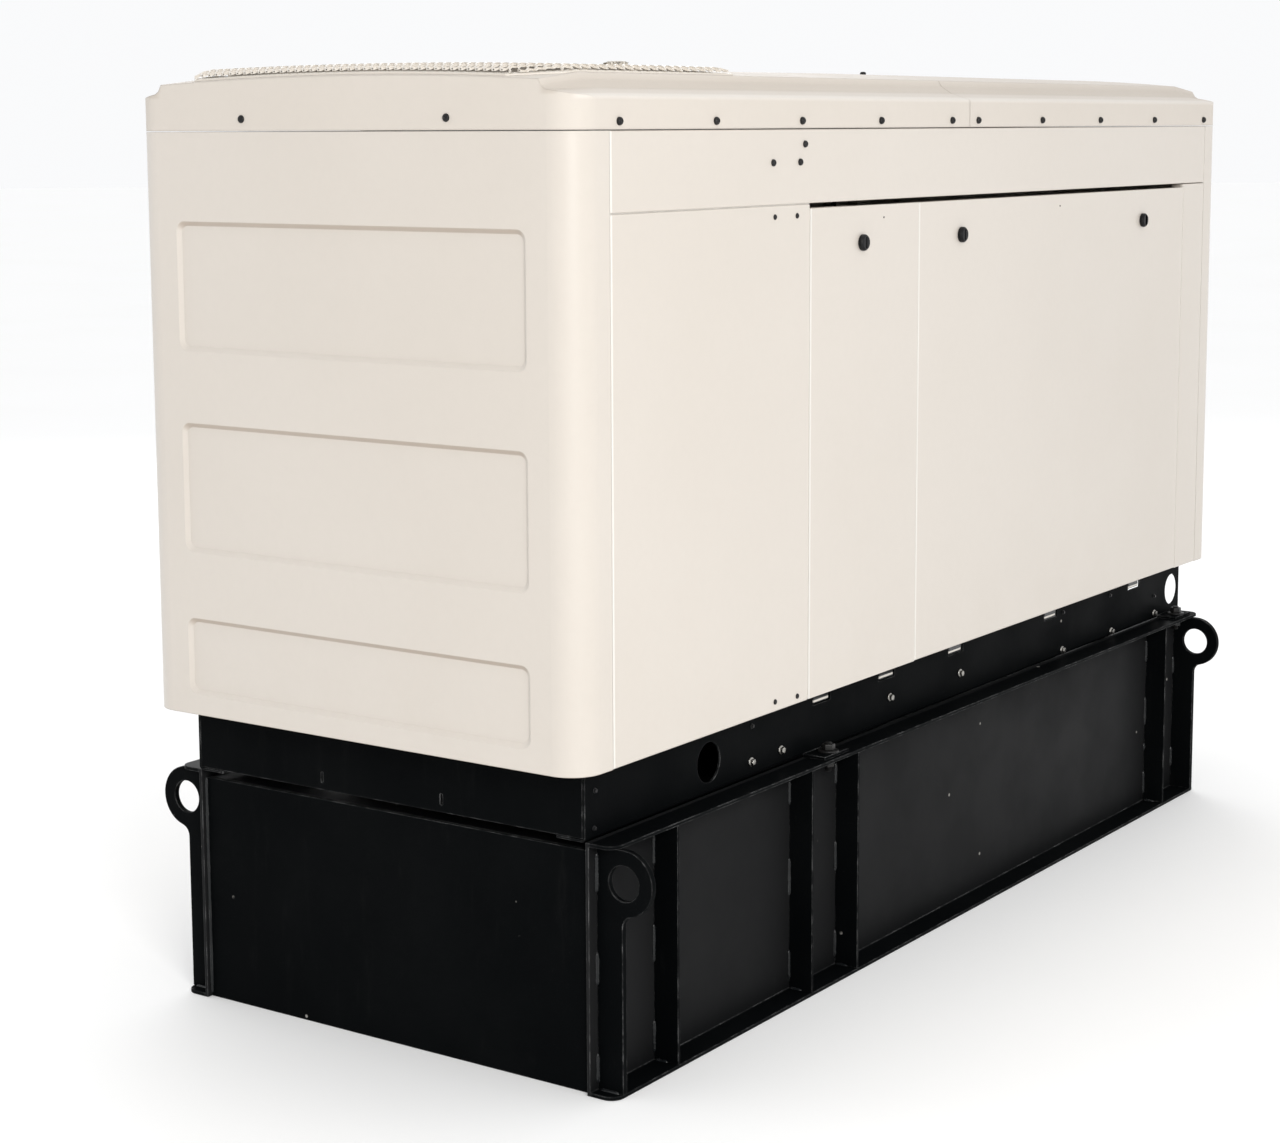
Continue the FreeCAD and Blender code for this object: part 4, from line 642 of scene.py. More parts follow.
def roof_top(x, y):
    """Height of the roof's crown as the CAD gives it."""
    if x < -1.248:
        t = (x + 1.363) / 0.115
        lip, crown = 1.764 + 0.012 * t, 1.775 + 0.0155 * t
    else:
        t = (x + 1.248) / 0.548
        lip, crown = 1.776, 1.7905 + 0.0035 * t
    return crown - (crown - lip) * (y / 0.433) ** 2


def grille_z(x, y):
    """The mesh rises from its border on the roof to the domed top within 40 mm."""
    side, cut = GY - abs(y), (x - GX0 + GY - abs(y) - GCUT) / math.sqrt(2)
    d = min(x - GX0, GX1 - x, side, cut)
    t = min(1.0, max(0.0, min((x - GX0) / 0.040, (GX1 - x) / 0.020, side / 0.018, cut / 0.035)))
    t = math.sin(t * math.pi / 2)
    foot = roof_top(x, y) + 0.0035
    return foot + max(0.0, grille_top(x, y) + 0.0012 - foot) * t, d


def expanded_metal():
    bm = bmesh.new()
    swd, lwd = 0.0088, 0.0252
    rows = int(2 * GY / swd)
    cols = int((GX1 - GX0) / (lwd / 4))
    for j in range(rows + 1):
        yc = -GY + j * (2 * GY) / rows
        prev = None
        for i in range(cols + 1):
            x = GX0 + i * (GX1 - GX0) / cols
            side = 1 if j % 2 else -1
            # a strand swings half a pitch either way; its flat bonds last a quarter of the pitch
            sw = (1.0, 1.0, -1.0, -1.0)[i % 4]
            y = yc + side * sw * swd * 0.44
            z, d = grille_z(x, y)
            if d < 0.001:
                prev = None
                continue
            lean = 0.0017 * sw * side
            w, h = 0.0017, 0.0032
            zz = 0.0008 if i % 4 in (1, 3) else 0.0
            ring = [bm.verts.new((x, y - w - lean, z)), bm.verts.new((x, y + w - lean, z)),
                    bm.verts.new((x, y + w * 0.8 + lean, z + h + zz)), bm.verts.new((x, y - w * 0.8 + lean, z + h + zz))]
            if prev:
                for s in range(4):
                    bm.faces.new((prev[s], prev[(s + 1) % 4], ring[(s + 1) % 4], ring[s]))
            prev = ring
    loose = [v for v in bm.verts if not v.link_faces]
    bmesh.ops.delete(bm, geom=loose, context="VERTS")
    bmesh.ops.holes_fill(bm, edges=[e for e in bm.edges if e.is_boundary], sides=4)
    mesh = new_piece("roof_outlet_expanded_metal", bm, "grille_paint", smooth=False, weighted=False)
    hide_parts("roof_grille")
    # border strip round the mesh, and the bars that carry it
    bm = bmesh.new()
    out = [(GX0, GY - GCUT), (GX0 + GCUT, GY), (GX1, GY), (GX1, -GY), (GX0 + GCUT, -GY), (GX0, -GY + GCUT)]
    cx = (GX0 + GX1) / 2
    loop = []
    for k in range(6):
        (xa, ya), (xb, yb) = out[k], out[(k + 1) % 6]
        m = max(2, int(math.hypot(xb - xa, yb - ya) / 0.03))
        loop += [(xa + (xb - xa) * t / m, ya + (yb - ya) * t / m) for t in range(m)]
    rings = []
    for x, y in loop:
        k = 0.020
        xi, yi = x + (k if x < GX0 + 0.001 else (-k if x > GX1 - 0.001 else 0.35 * k)), y
        if abs(x - GX0) < 0.001 and abs(y) < GY - GCUT - 0.001 or abs(x - GX1) < 0.001 and abs(y) < GY - 0.001:
            yi = y
        else:
            yi = y - math.copysign(k, y)
        zo, zi = roof_top(x, y) + 0.0002, roof_top(xi, yi) + 0.0002
        rings.append([bm.verts.new(v) for v in ((x, y, zo), (xi, yi, zi - 0.004), (xi, yi, zi + 0.0034), (x + (xi - x) * 0.25, y + (yi - y) * 0.25, zo + 0.0042), (x, y, zo + 0.0026))])
    for a, b in zip(rings, rings[1:] + rings[:1]):
        for s in range(5):
            bm.faces.new((a[s], a[(s + 1) % 5], b[(s + 1) % 5], b[s]))
    for xb in (GX0 + 0.150, GX0 + 0.294, GX0 + 0.438):
        prev = None
        for i in range(33):
            y = -GY + 0.012 + (2 * GY - 0.024) * i / 32
            z = grille_z(xb, y)[0]
            ring = [bm.verts.new(v) for v in ((xb - 0.002, y, z - 0.022), (xb + 0.002, y, z - 0.022), (xb + 0.002, y, z), (xb - 0.002, y, z))]
            if prev:
                for s in range(4):
                    bm.faces.new((prev[s], prev[(s + 1) % 4], ring[(s + 1) % 4], ring[s]))
            else:
                bm.faces.new(list(reversed(ring)))
            prev = ring
        bm.faces.new(prev)
    new_piece("roof_outlet_frame", bm, "grille_paint", smooth=False, weighted=False)


expanded_metal()

# ------------------------------------------------------------------ pressed louvres at the intake end
def louvre_hoods():
    bm = bmesh.new()
    face = 1.3562
    for lo, hi in ((0.902, 1.144), (0.631, 0.776)):
        z = lo + 0.034
        while z < hi - 0.026:
            for y in (-0.345, -0.115, 0.115):
                top, bot = z + 0.0135, z - 0.0005
                y0, y1 = y - 0.003, y + 0.208
                ns, nt = 22, 6
                outer, inner = [], []
                for si in range(ns + 1):
                    s = si / ns
                    yy = y0 + (y1 - y0) * s
                    e = min(s, 1 - s) * (y1 - y0) / 0.016
                    k = math.sqrt(1 - (1 - min(1.0, e)) ** 2)
                    ro, ri = [], []
                    for ti in range(nt + 1):
                        a = ti / nt * math.pi / 2
                        dd = 0.0078 * math.sin(a) * k
                        zz = bot + (top - bot) * math.cos(a)
                        ro.append(bm.verts.new((face + dd + 0.0001, yy, zz)))
                        ri.append(bm.verts.new((face + max(0.0, dd - 0.0012) - 0.0004, yy, zz - 0.0008 * math.cos(a))))
                    outer.append(ro)
                    inner.append(ri)
                for a, b in zip(range(ns), range(1, ns + 1)):
                    for q in range(nt):
                        bm.faces.new((outer[a][q], outer[a][q + 1], outer[b][q + 1], outer[b][q]))
                        bm.faces.new((inner[a][q], inner[b][q], inner[b][q + 1], inner[a][q + 1]))
                    bm.faces.new((outer[a][nt], inner[a][nt], inner[b][nt], outer[b][nt]))
                    bm.faces.new((outer[a][0], outer[b][0], inner[b][0], inner[a][0]))
                for q in range(nt):
                    bm.faces.new((outer[0][q], inner[0][q], inner[0][q + 1], outer[0][q + 1]))
                    bm.faces.new((outer[ns][q], outer[ns][q + 1], inner[ns][q + 1], inner[ns][q]))
            z += 0.024
    return new_piece("intake_louvre_hoods", bm, "enclosure_paint", weighted=False)


louvre_hoods()


# ------------------------------------------------------------------ sound foam
def foam(name, x0, x1, z0, z1, y_skin, inward, body, thick=0.024, pins=((0.5, 0.5),)):
    """Slab of sound foam on the inside of a sheet panel, dimpled where its pins hold it."""
    bm = bmesh.new()
    rnd = random.Random(name)
    step = 0.018
    nx, nz = max(6, int((x1 - x0) / step)), max(6, int((z1 - z0) / step))
    pin_xy = [(x0 + (x1 - x0) * a, z0 + (z1 - z0) * b) for a, b in pins]
    front, back = [], []
    for i in range(nx + 1):
        rf, rb = [], []
        for j in range(nz + 1):
            x = x0 + (x1 - x0) * i / nx
            z = z0 + (z1 - z0) * j / nz
            d = min(i, nx - i, j, nz - j)
            t = thick * (0.62 if d == 0 else (0.93 if d == 1 else 1.0))
            t += 0.0009 * math.sin(x * 21 + z * 9) + 0.0006 * math.sin(z * 33 - x * 5) + rnd.uniform(-0.0002, 0.0002)
            for px, pz in pin_xy:
                r2 = (x - px) ** 2 + (z - pz) ** 2
                t -= 0.010 * math.exp(-r2 / (2 * 0.022 ** 2))
            rf.append(bm.verts.new((x, y_skin + inward * t, z)))
            rb.append(bm.verts.new((x, y_skin + inward * 0.0004, z)))
        front.append(rf)
        back.append(rb)
    for i in range(nx):
        for j in range(nz):
            bm.faces.new((front[i][j], front[i + 1][j], front[i + 1][j + 1], front[i][j + 1]))
            bm.faces.new((back[i][j], back[i][j + 1], back[i + 1][j + 1], back[i + 1][j]))
    for i in range(nx):
        bm.faces.new((front[i][0], back[i][0], back[i + 1][0], front[i + 1][0]))
        bm.faces.new((front[i][nz], front[i + 1][nz], back[i + 1][nz], back[i][nz]))
    for j in range(nz):
        bm.faces.new((front[0][j], front[0][j + 1], back[0][j + 1], back[0][j]))
        bm.faces.new((front[nx][j], back[nx][j], back[nx][j + 1], front[nx][j + 1]))
    o = new_piece(name, bm, "rubber", body, weighted=False, mat=FOAM)
    b2 = bmesh.new()
    for px, pz in pin_xy:
        m4 = frame_of((px, y_skin + inward * (thick - 0.0122), pz), (0, inward, 0))
        lathe(b2, m4, [(0.0, 0.0), (0.0150, 0.0), (0.0155, 0.0005), (0.0150, 0.0011), (0.0075, 0.0019), (0.0030, 0.0017), (0.0026, 0.0062), (0.0018, 0.0070), (0.0, 0.0070)], 20)
    new_piece(name + "_pins", b2, "zinc_hardware", body, weighted=False)
    return o


n = Nodes("open_cell_foam")
cells = n.voronoi(430, "F1")
FOAM = n.done(n.mix(n.ramp(cells, 0.1, 0.6), (0.030, 0.030, 0.032), (0.012, 0.012, 0.013)), 0.92, 0.0,
              n.bump(cells, 0.8, 0.0016, n.bump(n.noise(24, 4), 0.3, 0.004)), Specular_IOR_Level=0.15)
P6 = [(a, b) for a in (0.2, 0.8) for b in (0.12, 0.5, 0.88)]
P8 = [(a, b) for a in (0.08, 0.36, 0.64, 0.92) for b in (0.12, 0.5, 0.88)]
for sy, side in ((-1, "left"), (1, "right")):
    foam("small_door_%s_foam" % side, -0.606, -0.211, 0.612, 1.430, sy * 0.505, -sy, "small_door_%s" % side, pins=P6)
    foam("large_door_%s_foam" % side, -0.183, 1.128, 0.612, 1.430, sy * 0.505, -sy, "large_door_%s" % side, pins=P8)
    foam("header_%s_foam" % side, -0.620, 1.250, 1.552, 1.668, sy * 0.505, -sy, ROOT, 0.018, [(0.1, 0.5), (0.37, 0.5), (0.63, 0.5), (0.9, 0.5)])


# ------------------------------------------------------------------ door edge seals
def seal(name, x0, x1, z0, z1, y, inward, body):
    """D-section rubber pushed onto the turned-in edge of a door."""
    bm = bmesh.new()
    c = 0.0040
    path = [(x0 + c, z0 + c), (x1 - c, z0 + c), (x1 - c, z1 - c), (x0 + c, z1 - c)]
    prof = [(-0.0030, -0.0040), (0.0030, -0.0040), (0.0034, 0.0004), (0.0050, 0.0030), (0.0046, 0.0066), (0.0022, 0.0086), (-0.0008, 0.0084), (-0.0030, 0.0064), (-0.0034, 0.0020)]
    rings = []
    cx, cz = (x0 + x1) / 2, (z0 + z1) / 2
    for x, z in path:
        ring = []
        for a, b in prof:
            sx, sz = (1 if x < cx else -1), (1 if z < cz else -1)
            ring.append(bm.verts.new((x + sx * a, y + inward * b, z + sz * a)))
        rings.append(ring)
    for i in range(4):
        a, b = rings[i], rings[(i + 1) % 4]
        for s in range(len(prof)):
            s2 = (s + 1) % len(prof)
            bm.faces.new((a[s], a[s2], b[s2], b[s]))
    return new_piece(name, bm, "rubber", body, weighted=False)


for sy, side in ((-1, "left"), (1, "right")):
    seal("small_door_%s_seal" % side, -0.61925, -0.19775, 0.5925, 1.531, sy * 0.476, -sy, "small_door_%s" % side)
    seal("large_door_%s_seal" % side, -0.19625, 1.14125, 0.5925, 1.531, sy * 0.476, -sy, "large_door_%s" % side)

# ------------------------------------------------------------------ engine, alternator and control detail
def band(bm, at, out, ri, ro, h0, h1, n=36, crown=0.0):
    """Ring about an axis, with a slightly rounded outer face."""
    hm = (h0 + h1) / 2
    prof = [(ri, h0), (ro, h0), (ro + crown, hm), (ro, h1), (ri, h1), (ri, h0)]
    rings = lathe(bm, frame_of(at, out), prof[:-1], n)
    for i in range(n):
        j = (i + 1) % n
        bm.faces.new((rings[-1][i], rings[0][i], rings[0][j], rings[-1][j]))


def clamp(bm, at, out, r, wide=0.011):
    """Worm-drive hose clamp: band, housing and screw."""
    band(bm, at, out, r - 0.0006, r + 0.0011, -wide / 2, wide / 2, 40)
    m = frame_of(at, out)
    lo, hi = Vector((r - 0.001, -0.011, -wide * 0.55)), Vector((r + 0.0085, 0.009, wide * 0.55))
    v = add_box(bm, lo, hi)
    for q in v:
        q.co = m @ q.co
    side = (m.to_3x3() @ Vector((0, 1, 0)))
    hex_bolt(bm, m @ Vector((r + 0.004, 0.009, 0)), side, 0.0070, 0.0050, 0.0045, 0.0008)


def tube_piece(name, pts, r, slot, body=ROOT, mat=None, n=12):
    """Rigid pipe through points, its corners rounded by a spline."""
    cu = bpy.data.curves.new(name, "CURVE")
    cu.dimensions = "3D"
    sp = cu.splines.new("NURBS")
    sp.points.add(len(pts) - 1)
    for q, c in zip(sp.points, pts):
        q.co = (*c, 1.0)
    sp.order_u = 3
    sp.use_endpoint_u = True
    cu.bevel_depth = r
    cu.bevel_resolution = 4
    cu.resolution_u = n
    cu.use_fill_caps = True
    cu.materials.append(mat or MATS[slot])
    o = bpy.data.objects.new(name, cu)
    scene.collection.objects.link(o)
    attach(o, body)
    return o


# head, cover and manifold fasteners
bm = bmesh.new()
for x in (-0.440, -0.330, -0.220, -0.110, 0.0):
    for s in (-1, 1):
        hex_bolt(bm, (x, s * 0.111, 1.165), (0, 0, 1), 0.013, 0.010, 0.011, 0.0022, x * 7)
for x in (-0.445, -0.355, -0.235, -0.205, -0.115, -0.085, 0.000):
    for z in (1.104, 1.143):
        hex_bolt(bm, (x, -0.196, z), (0, -1, 0), 0.011, 0.008, 0.009, 0.002, z * 5)
for k in range(4):
    a = math.pi / 4 + k * math.pi / 2
    hex_bolt(bm, (-0.430 + 0.037 * math.cos(a), -0.2500, 1.123 + 0.037 * math.sin(a)), (0, 1, 0), 0.0105, 0.008, 0.008, 0.0016)
for k in range(12):
    a = 2 * math.pi * k / 12 + 0.13
    hex_bolt(bm, (0.060, 0.226 * math.cos(a), 0.850 + 0.226 * math.sin(a)), (-1, 0, 0), 0.013, 0.009, 0.0105, 0.0022, a)
for x in (-0.440, -0.330, -0.220, -0.110, -0.010):
    for s in (-1, 1):
        hex_bolt(bm, (x, s * 0.1400, 0.7600), (0, s, 0), 0.010, 0.007, 0.0085, 0.0016, x * 9)
new_piece("engine_cap_screws", bm, "black_hardware", bevel=0.0004, segs=1, limit=40)

bm = bmesh.new()
for x in (-0.400, -0.280, -0.140, -0.030):
    for s in (-1, 1):
        m4 = frame_of((x, s * 0.165, 1.012), (0, s, 0))
        lathe(bm, m4, [(0.0, 0.0), (0.024, 0.0), (0.0245, 0.0016), (0.0225, 0.0022), (0.0205, 0.0004), (0.0, 0.0002)], 30)
new_piece("core_plugs", bm, "zinc_hardware", weighted=False)

# oil filler cap, ribbed for the hand
bm = bmesh.new()
m4 = frame_of((-0.060, 0, 1.262), (0, 0, 1))
rings = lathe(bm, m4, [(0.0, 0.0005), (0.0285, 0.0005), (0.0300, 0.0015), (0.0300, 0.0125), (0.0280, 0.0145), (0.0, 0.0155)], 48)
for ring in rings[1:5]:
    for i, v in enumerate(ring):
        if i % 3 == 0:
            c = Vector((-0.060, 0, v.co.z))
            v.co = c + (v.co - c) * 0.93
m5 = frame_of((-0.060, 0, 1.2775), (0, 0, 1))
v = add_box(bm, Vector((-0.020, -0.0035, -0.001)), Vector((0.020, 0.0035, 0.0055)))
for q in v:
    q.co = m5 @ q.co
new_piece("oil_filler_cap", bm, "latch_black", bevel=0.0006)

# fuel injectors and their steel lines
bm = bmesh.new()
for x in (-0.400, -0.280, -0.160, -0.040):
    m4 = frame_of((x, 0.108, 1.165), (0, 0, 1))
    lathe(bm, m4, [(0.0, 0.0), (0.011, 0.0), (0.011, 0.012), (0.0085, 0.014), (0.0085, 0.026), (0.0055, 0.029), (0.0, 0.029)], 20)
    nut(bm, (x, 0.108, 1.165 + 0.029), (0, 0, 1), 0.013, 0.008)
new_piece("fuel_injectors", bm, "steel", bevel=0.0004, segs=1)
for k, x in enumerate((-0.400, -0.280, -0.160, -0.040)):
    tube_piece("injection_line_%d" % (k + 1), [(x, 0.108, 1.198), (x, 0.108, 1.218), (x, 0.138, 1.222), (x - 0.004 * k, 0.160, 1.196), (x - 0.01 * k, 0.182, 1.162),
                                               (-0.34 + 0.022 * k, 0.240, 1.130), (-0.34 + 0.022 * k, 0.246, 1.040), (-0.34 + 0.022 * k, 0.212, 0.985), (-0.34 + 0.022 * k, 0.200, 0.960)], 0.0032, "steel")
bm = bmesh.new()
add_box(bm, (-0.362, 0.165, 0.905), (-0.250, 0.222, 0.962))
m4 = frame_of((-0.250, 0.193, 0.932), (1, 0, 0))
lathe(bm, m4, [(0.0, 0.0), (0.026, 0.0), (0.026, 0.040), (0.020, 0.046), (0.0, 0.046)], 28)
new_piece("injection_pump", bm, "aluminium", bevel=0.003, segs=3)

# filters: crimped seam and fluted ends
bm = bmesh.new()
band(bm, (-0.250, -0.236, 0.880), (0, 0, 1), 0.0455, 0.0478, 0.006, 0.013, 48, 0.0006)
band(bm, (-0.385, -0.1754, 0.830), (0, -1, 0), 0.0455, 0.0478, 0.006, 0.013, 48, 0.0006)
for k in range(15):
    a = 2 * math.pi * k / 15
    for base, ax in (((-0.250, -0.236, 0.880 + 0.131), (0, 0, 1)), ((-0.385, -0.1754 - 0.101, 0.830), (0, -1, 0))):
        m4 = frame_of(base, ax)
        vs = add_box(bm, Vector((0.0440, -0.0030, -0.014)), Vector((0.0472, 0.0030, 0.000)))
        r3 = Matrix.Rotation(a, 4, "Z")
        for q in vs:
            q.co = m4 @ (r3 @ q.co)
new_piece("filter_seams_and_flutes", bm, "steel", bevel=0.0005, segs=2)

# starter solenoid posts
bm = bmesh.new()
for dy in (-0.011, 0.011):
    thread(bm, (-0.092, -0.232 + dy, 0.862), (-1, 0, 0), 0.004, 0.018, 0.0016)
    nut(bm, (-0.097, -0.232 + dy, 0.862), (-1, 0, 0), 0.011, 0.005)
for k in range(2):
    hex_bolt(bm, (-0.092, -0.232 + (-0.033, 0.033)[k], 0.790), (-1, 0, 0), 0.008, 0.006, 0.006, 0.0012)
new_piece("starter_terminals", bm, "zinc_hardware", bevel=0.0003, segs=1)

# alternator: lamination bands, end bolts, vent bars
bm = bmesh.new()
for k in range(13):
    x = 0.205 + k * 0.0355
    band(bm, (x, 0, 0.850), (1, 0, 0), 0.210, 0.2155, 0.0, 0.012, 72, 0.0008)
new_piece("alternator_frame_bands", bm, "engine_paint", weighted=True)
bm = bmesh.new()
for k in range(8):
    a = 2 * math.pi * (k + 0.5) / 8
    hex_bolt(bm, (0.756, 0.196 * math.cos(a), 0.850 + 0.196 * math.sin(a)), (1, 0, 0), 0.013, 0.009, 0.010, 0.002, a)
for x in (0.300, 0.430, 0.560):
    for s in (-1, 1):
        hex_bolt(bm, (x, s * 0.176, 0.700), (0, 0, 1), 0.015, 0.010, 0.0125, 0.0024)
for x in (0.315, 0.545):
    for s in (-1, 1):
        hex_bolt(bm, (x, s * 0.095, 1.130), (0, 0, 1), 0.009, 0.006, 0.0075, 0.0015)
new_piece("alternator_bolts", bm, "zinc_hardware", bevel=0.0004, segs=1)
bm = bmesh.new()
for k in range(8):
    a = k * math.pi / 4
    cy, cz = 0.125 * math.cos(a), 0.850 + 0.125 * math.sin(a)
    for t in (-0.012, -0.004, 0.004, 0.012):
        hw = math.sqrt(0.0192 ** 2 - t * t)
        add_box(bm, (0.752, cy - hw, cz + t - 0.0010), (0.7545, cy + hw, cz + t + 0.0010))
new_piece("alternator_vent_bars", bm, "aluminium", bevel=0.0004, segs=1)

# clamps on hoses
bm = bmesh.new()
for at, out, r in (((-0.662, 0.100, 1.515), (1, 0, 0), 0.0222), ((-0.492, 0.100, 1.138), (-1, 0, 0), 0.0222),
                   ((-0.662, -0.130, 0.675), (1, 0, 0), 0.0212), ((-0.512, -0.130, 0.940), (-1, 0, 0), 0.0212),
                   ((0.140, 0.150, 1.370), (-1, 0, 0), 0.0364), ((-0.140, 0.230, 1.172), (0, 0, 1), 0.0364)):
    clamp(bm, at, out, r, 0.012)
new_piece("hose_clamps", bm, "zinc_hardware", bevel=0.0003, segs=1)
bm = bmesh.new()
for k in range(9):
    band(bm, (0.055 + 0.007 * k, 0.150, 1.370), (1, 0, 0), 0.0352, 0.0382, 0.0, 0.0036, 40, 0.0012)
for k in range(9):
    band(bm, (-0.140, 0.230, 1.190 + 0.007 * k), (0, 0, 1), 0.0352, 0.0382, 0.0, 0.0036, 40, 0.0012)
new_piece("intake_hose_ribs", bm, "rubber")
bm = bmesh.new()
for k in range(4):
    a = math.pi / 4 + k * math.pi / 2
    at = Vector((0.214, 0.150 + 0.1170 * math.cos(a), 1.370 + 0.1170 * math.sin(a)))
    m4 = Matrix.Rotation(a, 4, "X")
    vs = add_box(bm, Vector((-0.020, -0.003, -0.009)), Vector((0.026, 0.0035, 0.009))) + add_box(bm, Vector((-0.008, 0.0030, -0.006)), Vector((0.030, 0.0065, 0.006)))
    for q in vs:
        q.co = at + (m4 @ Vector((q.co.x, q.co.y, q.co.z)))
new_piece("air_cleaner_clips", bm, "zinc_hardware", bevel=0.0008, segs=2)

# muffler: rolled ends and straps
bm = bmesh.new()
for y in (-0.326, 0.314):
    band(bm, (-1.060, y, 1.330), (0, 1, 0), 0.104, 0.1115, 0.0, 0.012, 64, 0.0012)
band(bm, (-1.060, -0.0040, 1.330), (0, 1, 0), 0.107, 0.1092, 0.0, 0.006, 64, 0.0006)
new_piece("muffler_rolled_seams", bm, "exhaust_steel")
bm = bmesh.new()
for y in (-0.200, 0.200):
    band(bm, (-1.060, y - 0.015, 1.330), (0, 1, 0), 0.1082, 0.1104, 0.0, 0.030, 64)
    add_box(bm, (-0.950, y - 0.015, 1.330 - 0.016), (-0.7515, y + 0.015, 1.330 + 0.016))
new_piece("muffler_straps", bm, "galvanised", bevel=0.0008)

# fan shroud and radiator screws
bm = bmesh.new()
for y in (-0.385, -0.130, 0.130, 0.385):
    for z in (0.716, 1.474):
        hex_bolt(bm, (-0.668, y, z), (1, 0, 0), 0.010, 0.007, 0.0085, 0.0016, y)
for z in (0.900, 1.090, 1.290):
    for y in (-0.385, 0.385):
        hex_bolt(bm, (-0.668, y, z), (1, 0, 0), 0.010, 0.007, 0.0085, 0.0016, z)
for y in (-0.455, 0.455):
    for z in (0.680, 0.900, 1.120, 1.340, 1.560):
        hex_bolt(bm, (-0.746, y, z), (1, 0, 0), 0.010, 0.007, 0.0085, 0.0016, z)
new_piece("shroud_and_bulkhead_screws", bm, "zinc_hardware", bevel=0.0004, segs=1)

# bolts that turn with the pulleys and the fan
bm = bmesh.new()
hex_bolt(bm, (-0.578, 0, 0.850), (-1, 0, 0), 0.019, 0.011, 0.0180, 0.0024)
new_piece("crank_pulley_bolt", bm, "black_hardware", "rotating_assembly", bevel=0.0004, segs=1)
bm = bmesh.new()
for k in range(4):
    a = math.pi / 4 + k * math.pi / 2
    hex_bolt(bm, (-0.610, 0.044 * math.cos(a), 1.060 + 0.044 * math.sin(a)), (1, 0, 0), 0.010, 0.006, 0.008, 0.0014, a)
new_piece("fan_hub_bolts", bm, "black_hardware", "fan", bevel=0.0004, segs=1)

# engine mount bolts
bm = bmesh.new()
for s in (-1, 1):
    hex_bolt(bm, (-0.300 + 0.018, s * 0.225, 0.642), (0, 0, 1), 0.016, 0.010, 0.0125, 0.0024)
    for z in (0.740, 0.820):
        for x in (-0.318, -0.282):
            hex_bolt(bm, (x, s * 0.176, z), (0, s, 0), 0.012, 0.008, 0.0095, 0.002)
new_piece("mount_bolts", bm, "zinc_hardware", bevel=0.0004, segs=1)

# control panel: display glass, keys, lamps, numbers, emergency stop collar, switch plate
def glass_material(name, col):
    n = Nodes(name)
    return n.done(n.mix(n.ramp(n.noise(40, 3), 0.35, 0.7), col, [c * 1.4 for c in col]), n.ramp(n.noise(9, 3), 0.3, 0.7, 0.06, 0.14), 0.0, None, Coat_Weight=0.6, Coat_Roughness=0.03)


DISPLAY = glass_material("display_glass", (0.010, 0.030, 0.024))
LAMPS = [glass_material("lamp_green", (0.02, 0.28, 0.05)), glass_material("lamp_amber", (0.50, 0.20, 0.01)), glass_material("lamp_red", (0.42, 0.015, 0.01))]
YELLOW = moulded("safety_yellow", (0.62, 0.40, 0.01), (0.70, 0.47, 0.02), 0.42, 0.15, 500)
WHITE_INK = moulded("white_ink", (0.60, 0.60, 0.58), (0.68, 0.68, 0.66), 0.55, 0.1, 500)
bm = bmesh.new()
add_box(bm, (0.3625, -0.4192, 1.3845), (0.4875, -0.4172, 1.4595))
new_piece("display_window", bm, "control_grey", bevel=0.0006, mat=DISPLAY)
bm = bmesh.new()
for x0, x1, z0, z1 in ((0.306, 0.774, 1.186, 1.1885), (0.306, 0.774, 1.4915, 1.494), (0.306, 0.3085, 1.186, 1.494), (0.7715, 0.774, 1.186, 1.494)):
    add_box(bm, (x0, -0.4168, z0), (x1, -0.4148, z1))
for z in (1.240, 1.440):
    m4 = frame_of((0.300, -0.4185, z - 0.022), (0, 0, 1))
    lathe(bm, m4, [(0.0, 0.0), (0.005, 0.0), (0.0053, 0.001), (0.0053, 0.0135), (0.0046, 0.0145), (0.0053, 0.0155), (0.0053, 0.0285), (0.0046, 0.0295), (0.0053, 0.0305), (0.0053, 0.043), (0.005, 0.044), (0.0, 0.044)], 20)
new_piece("control_box_door_rim_and_hinges", bm, "control_grey", bevel=0.0006)
bm = bmesh.new()
for x in (0.318, 0.762):
    for z in (1.198, 1.482):
        screw_head(bm, (x, -0.4150, z), (0, -1, 0), 0.0048, 0.0028, 0.0019)
for x in (0.620, 0.720):
    for z in (1.208, 1.312):
        screw_head(bm, (x, -0.4180, z), (0, -1, 0), 0.0040, 0.0024, 0.0016)
new_piece("control_panel_screws", bm, "zinc_hardware", weighted=False)
for k, (nm, x) in enumerate((("green", 0.520), ("amber", 0.520), ("red", 0.520))):
    bm = bmesh.new()
    lathe(bm, frame_of((x, -0.4150, 1.468 - 0.0 * k - 0.0135 * k + 0.012), (0, -1, 0)), [(0.0, -0.0005), (0.0042, -0.0005), (0.0042, 0.0016), (0.0034, 0.0034), (0.0018, 0.0044), (0.0, 0.0047)], 20)
    new_piece("status_lamp_" + nm, bm, "control_grey", weighted=False, mat=LAMPS[k])
bm = bmesh.new()
band(bm, (0.560, -0.4150, 1.410), (0, -1, 0), 0.0118, 0.0290, 0.0, 0.0018, 48)
band(bm, (0.560, -0.4150, 1.410), (0, -1, 0), 0.0118, 0.0165, 0.0016, 0.0060, 48)
new_piece("emergency_stop_collar", bm, "control_grey", bevel=0.0004, mat=YELLOW)
bm = bmesh.new()
band(bm, (0.660, -0.4150, 1.410), (0, -1, 0), 0.0076, 0.0215, 0.0, 0.0012, 48)
band(bm, (0.660, -0.4150, 1.410), (0, -1, 0), 0.0076, 0.0150, 0.0010, 0.0045, 48)
new_piece("selector_plate", bm, "latch_black", bevel=0.0004)


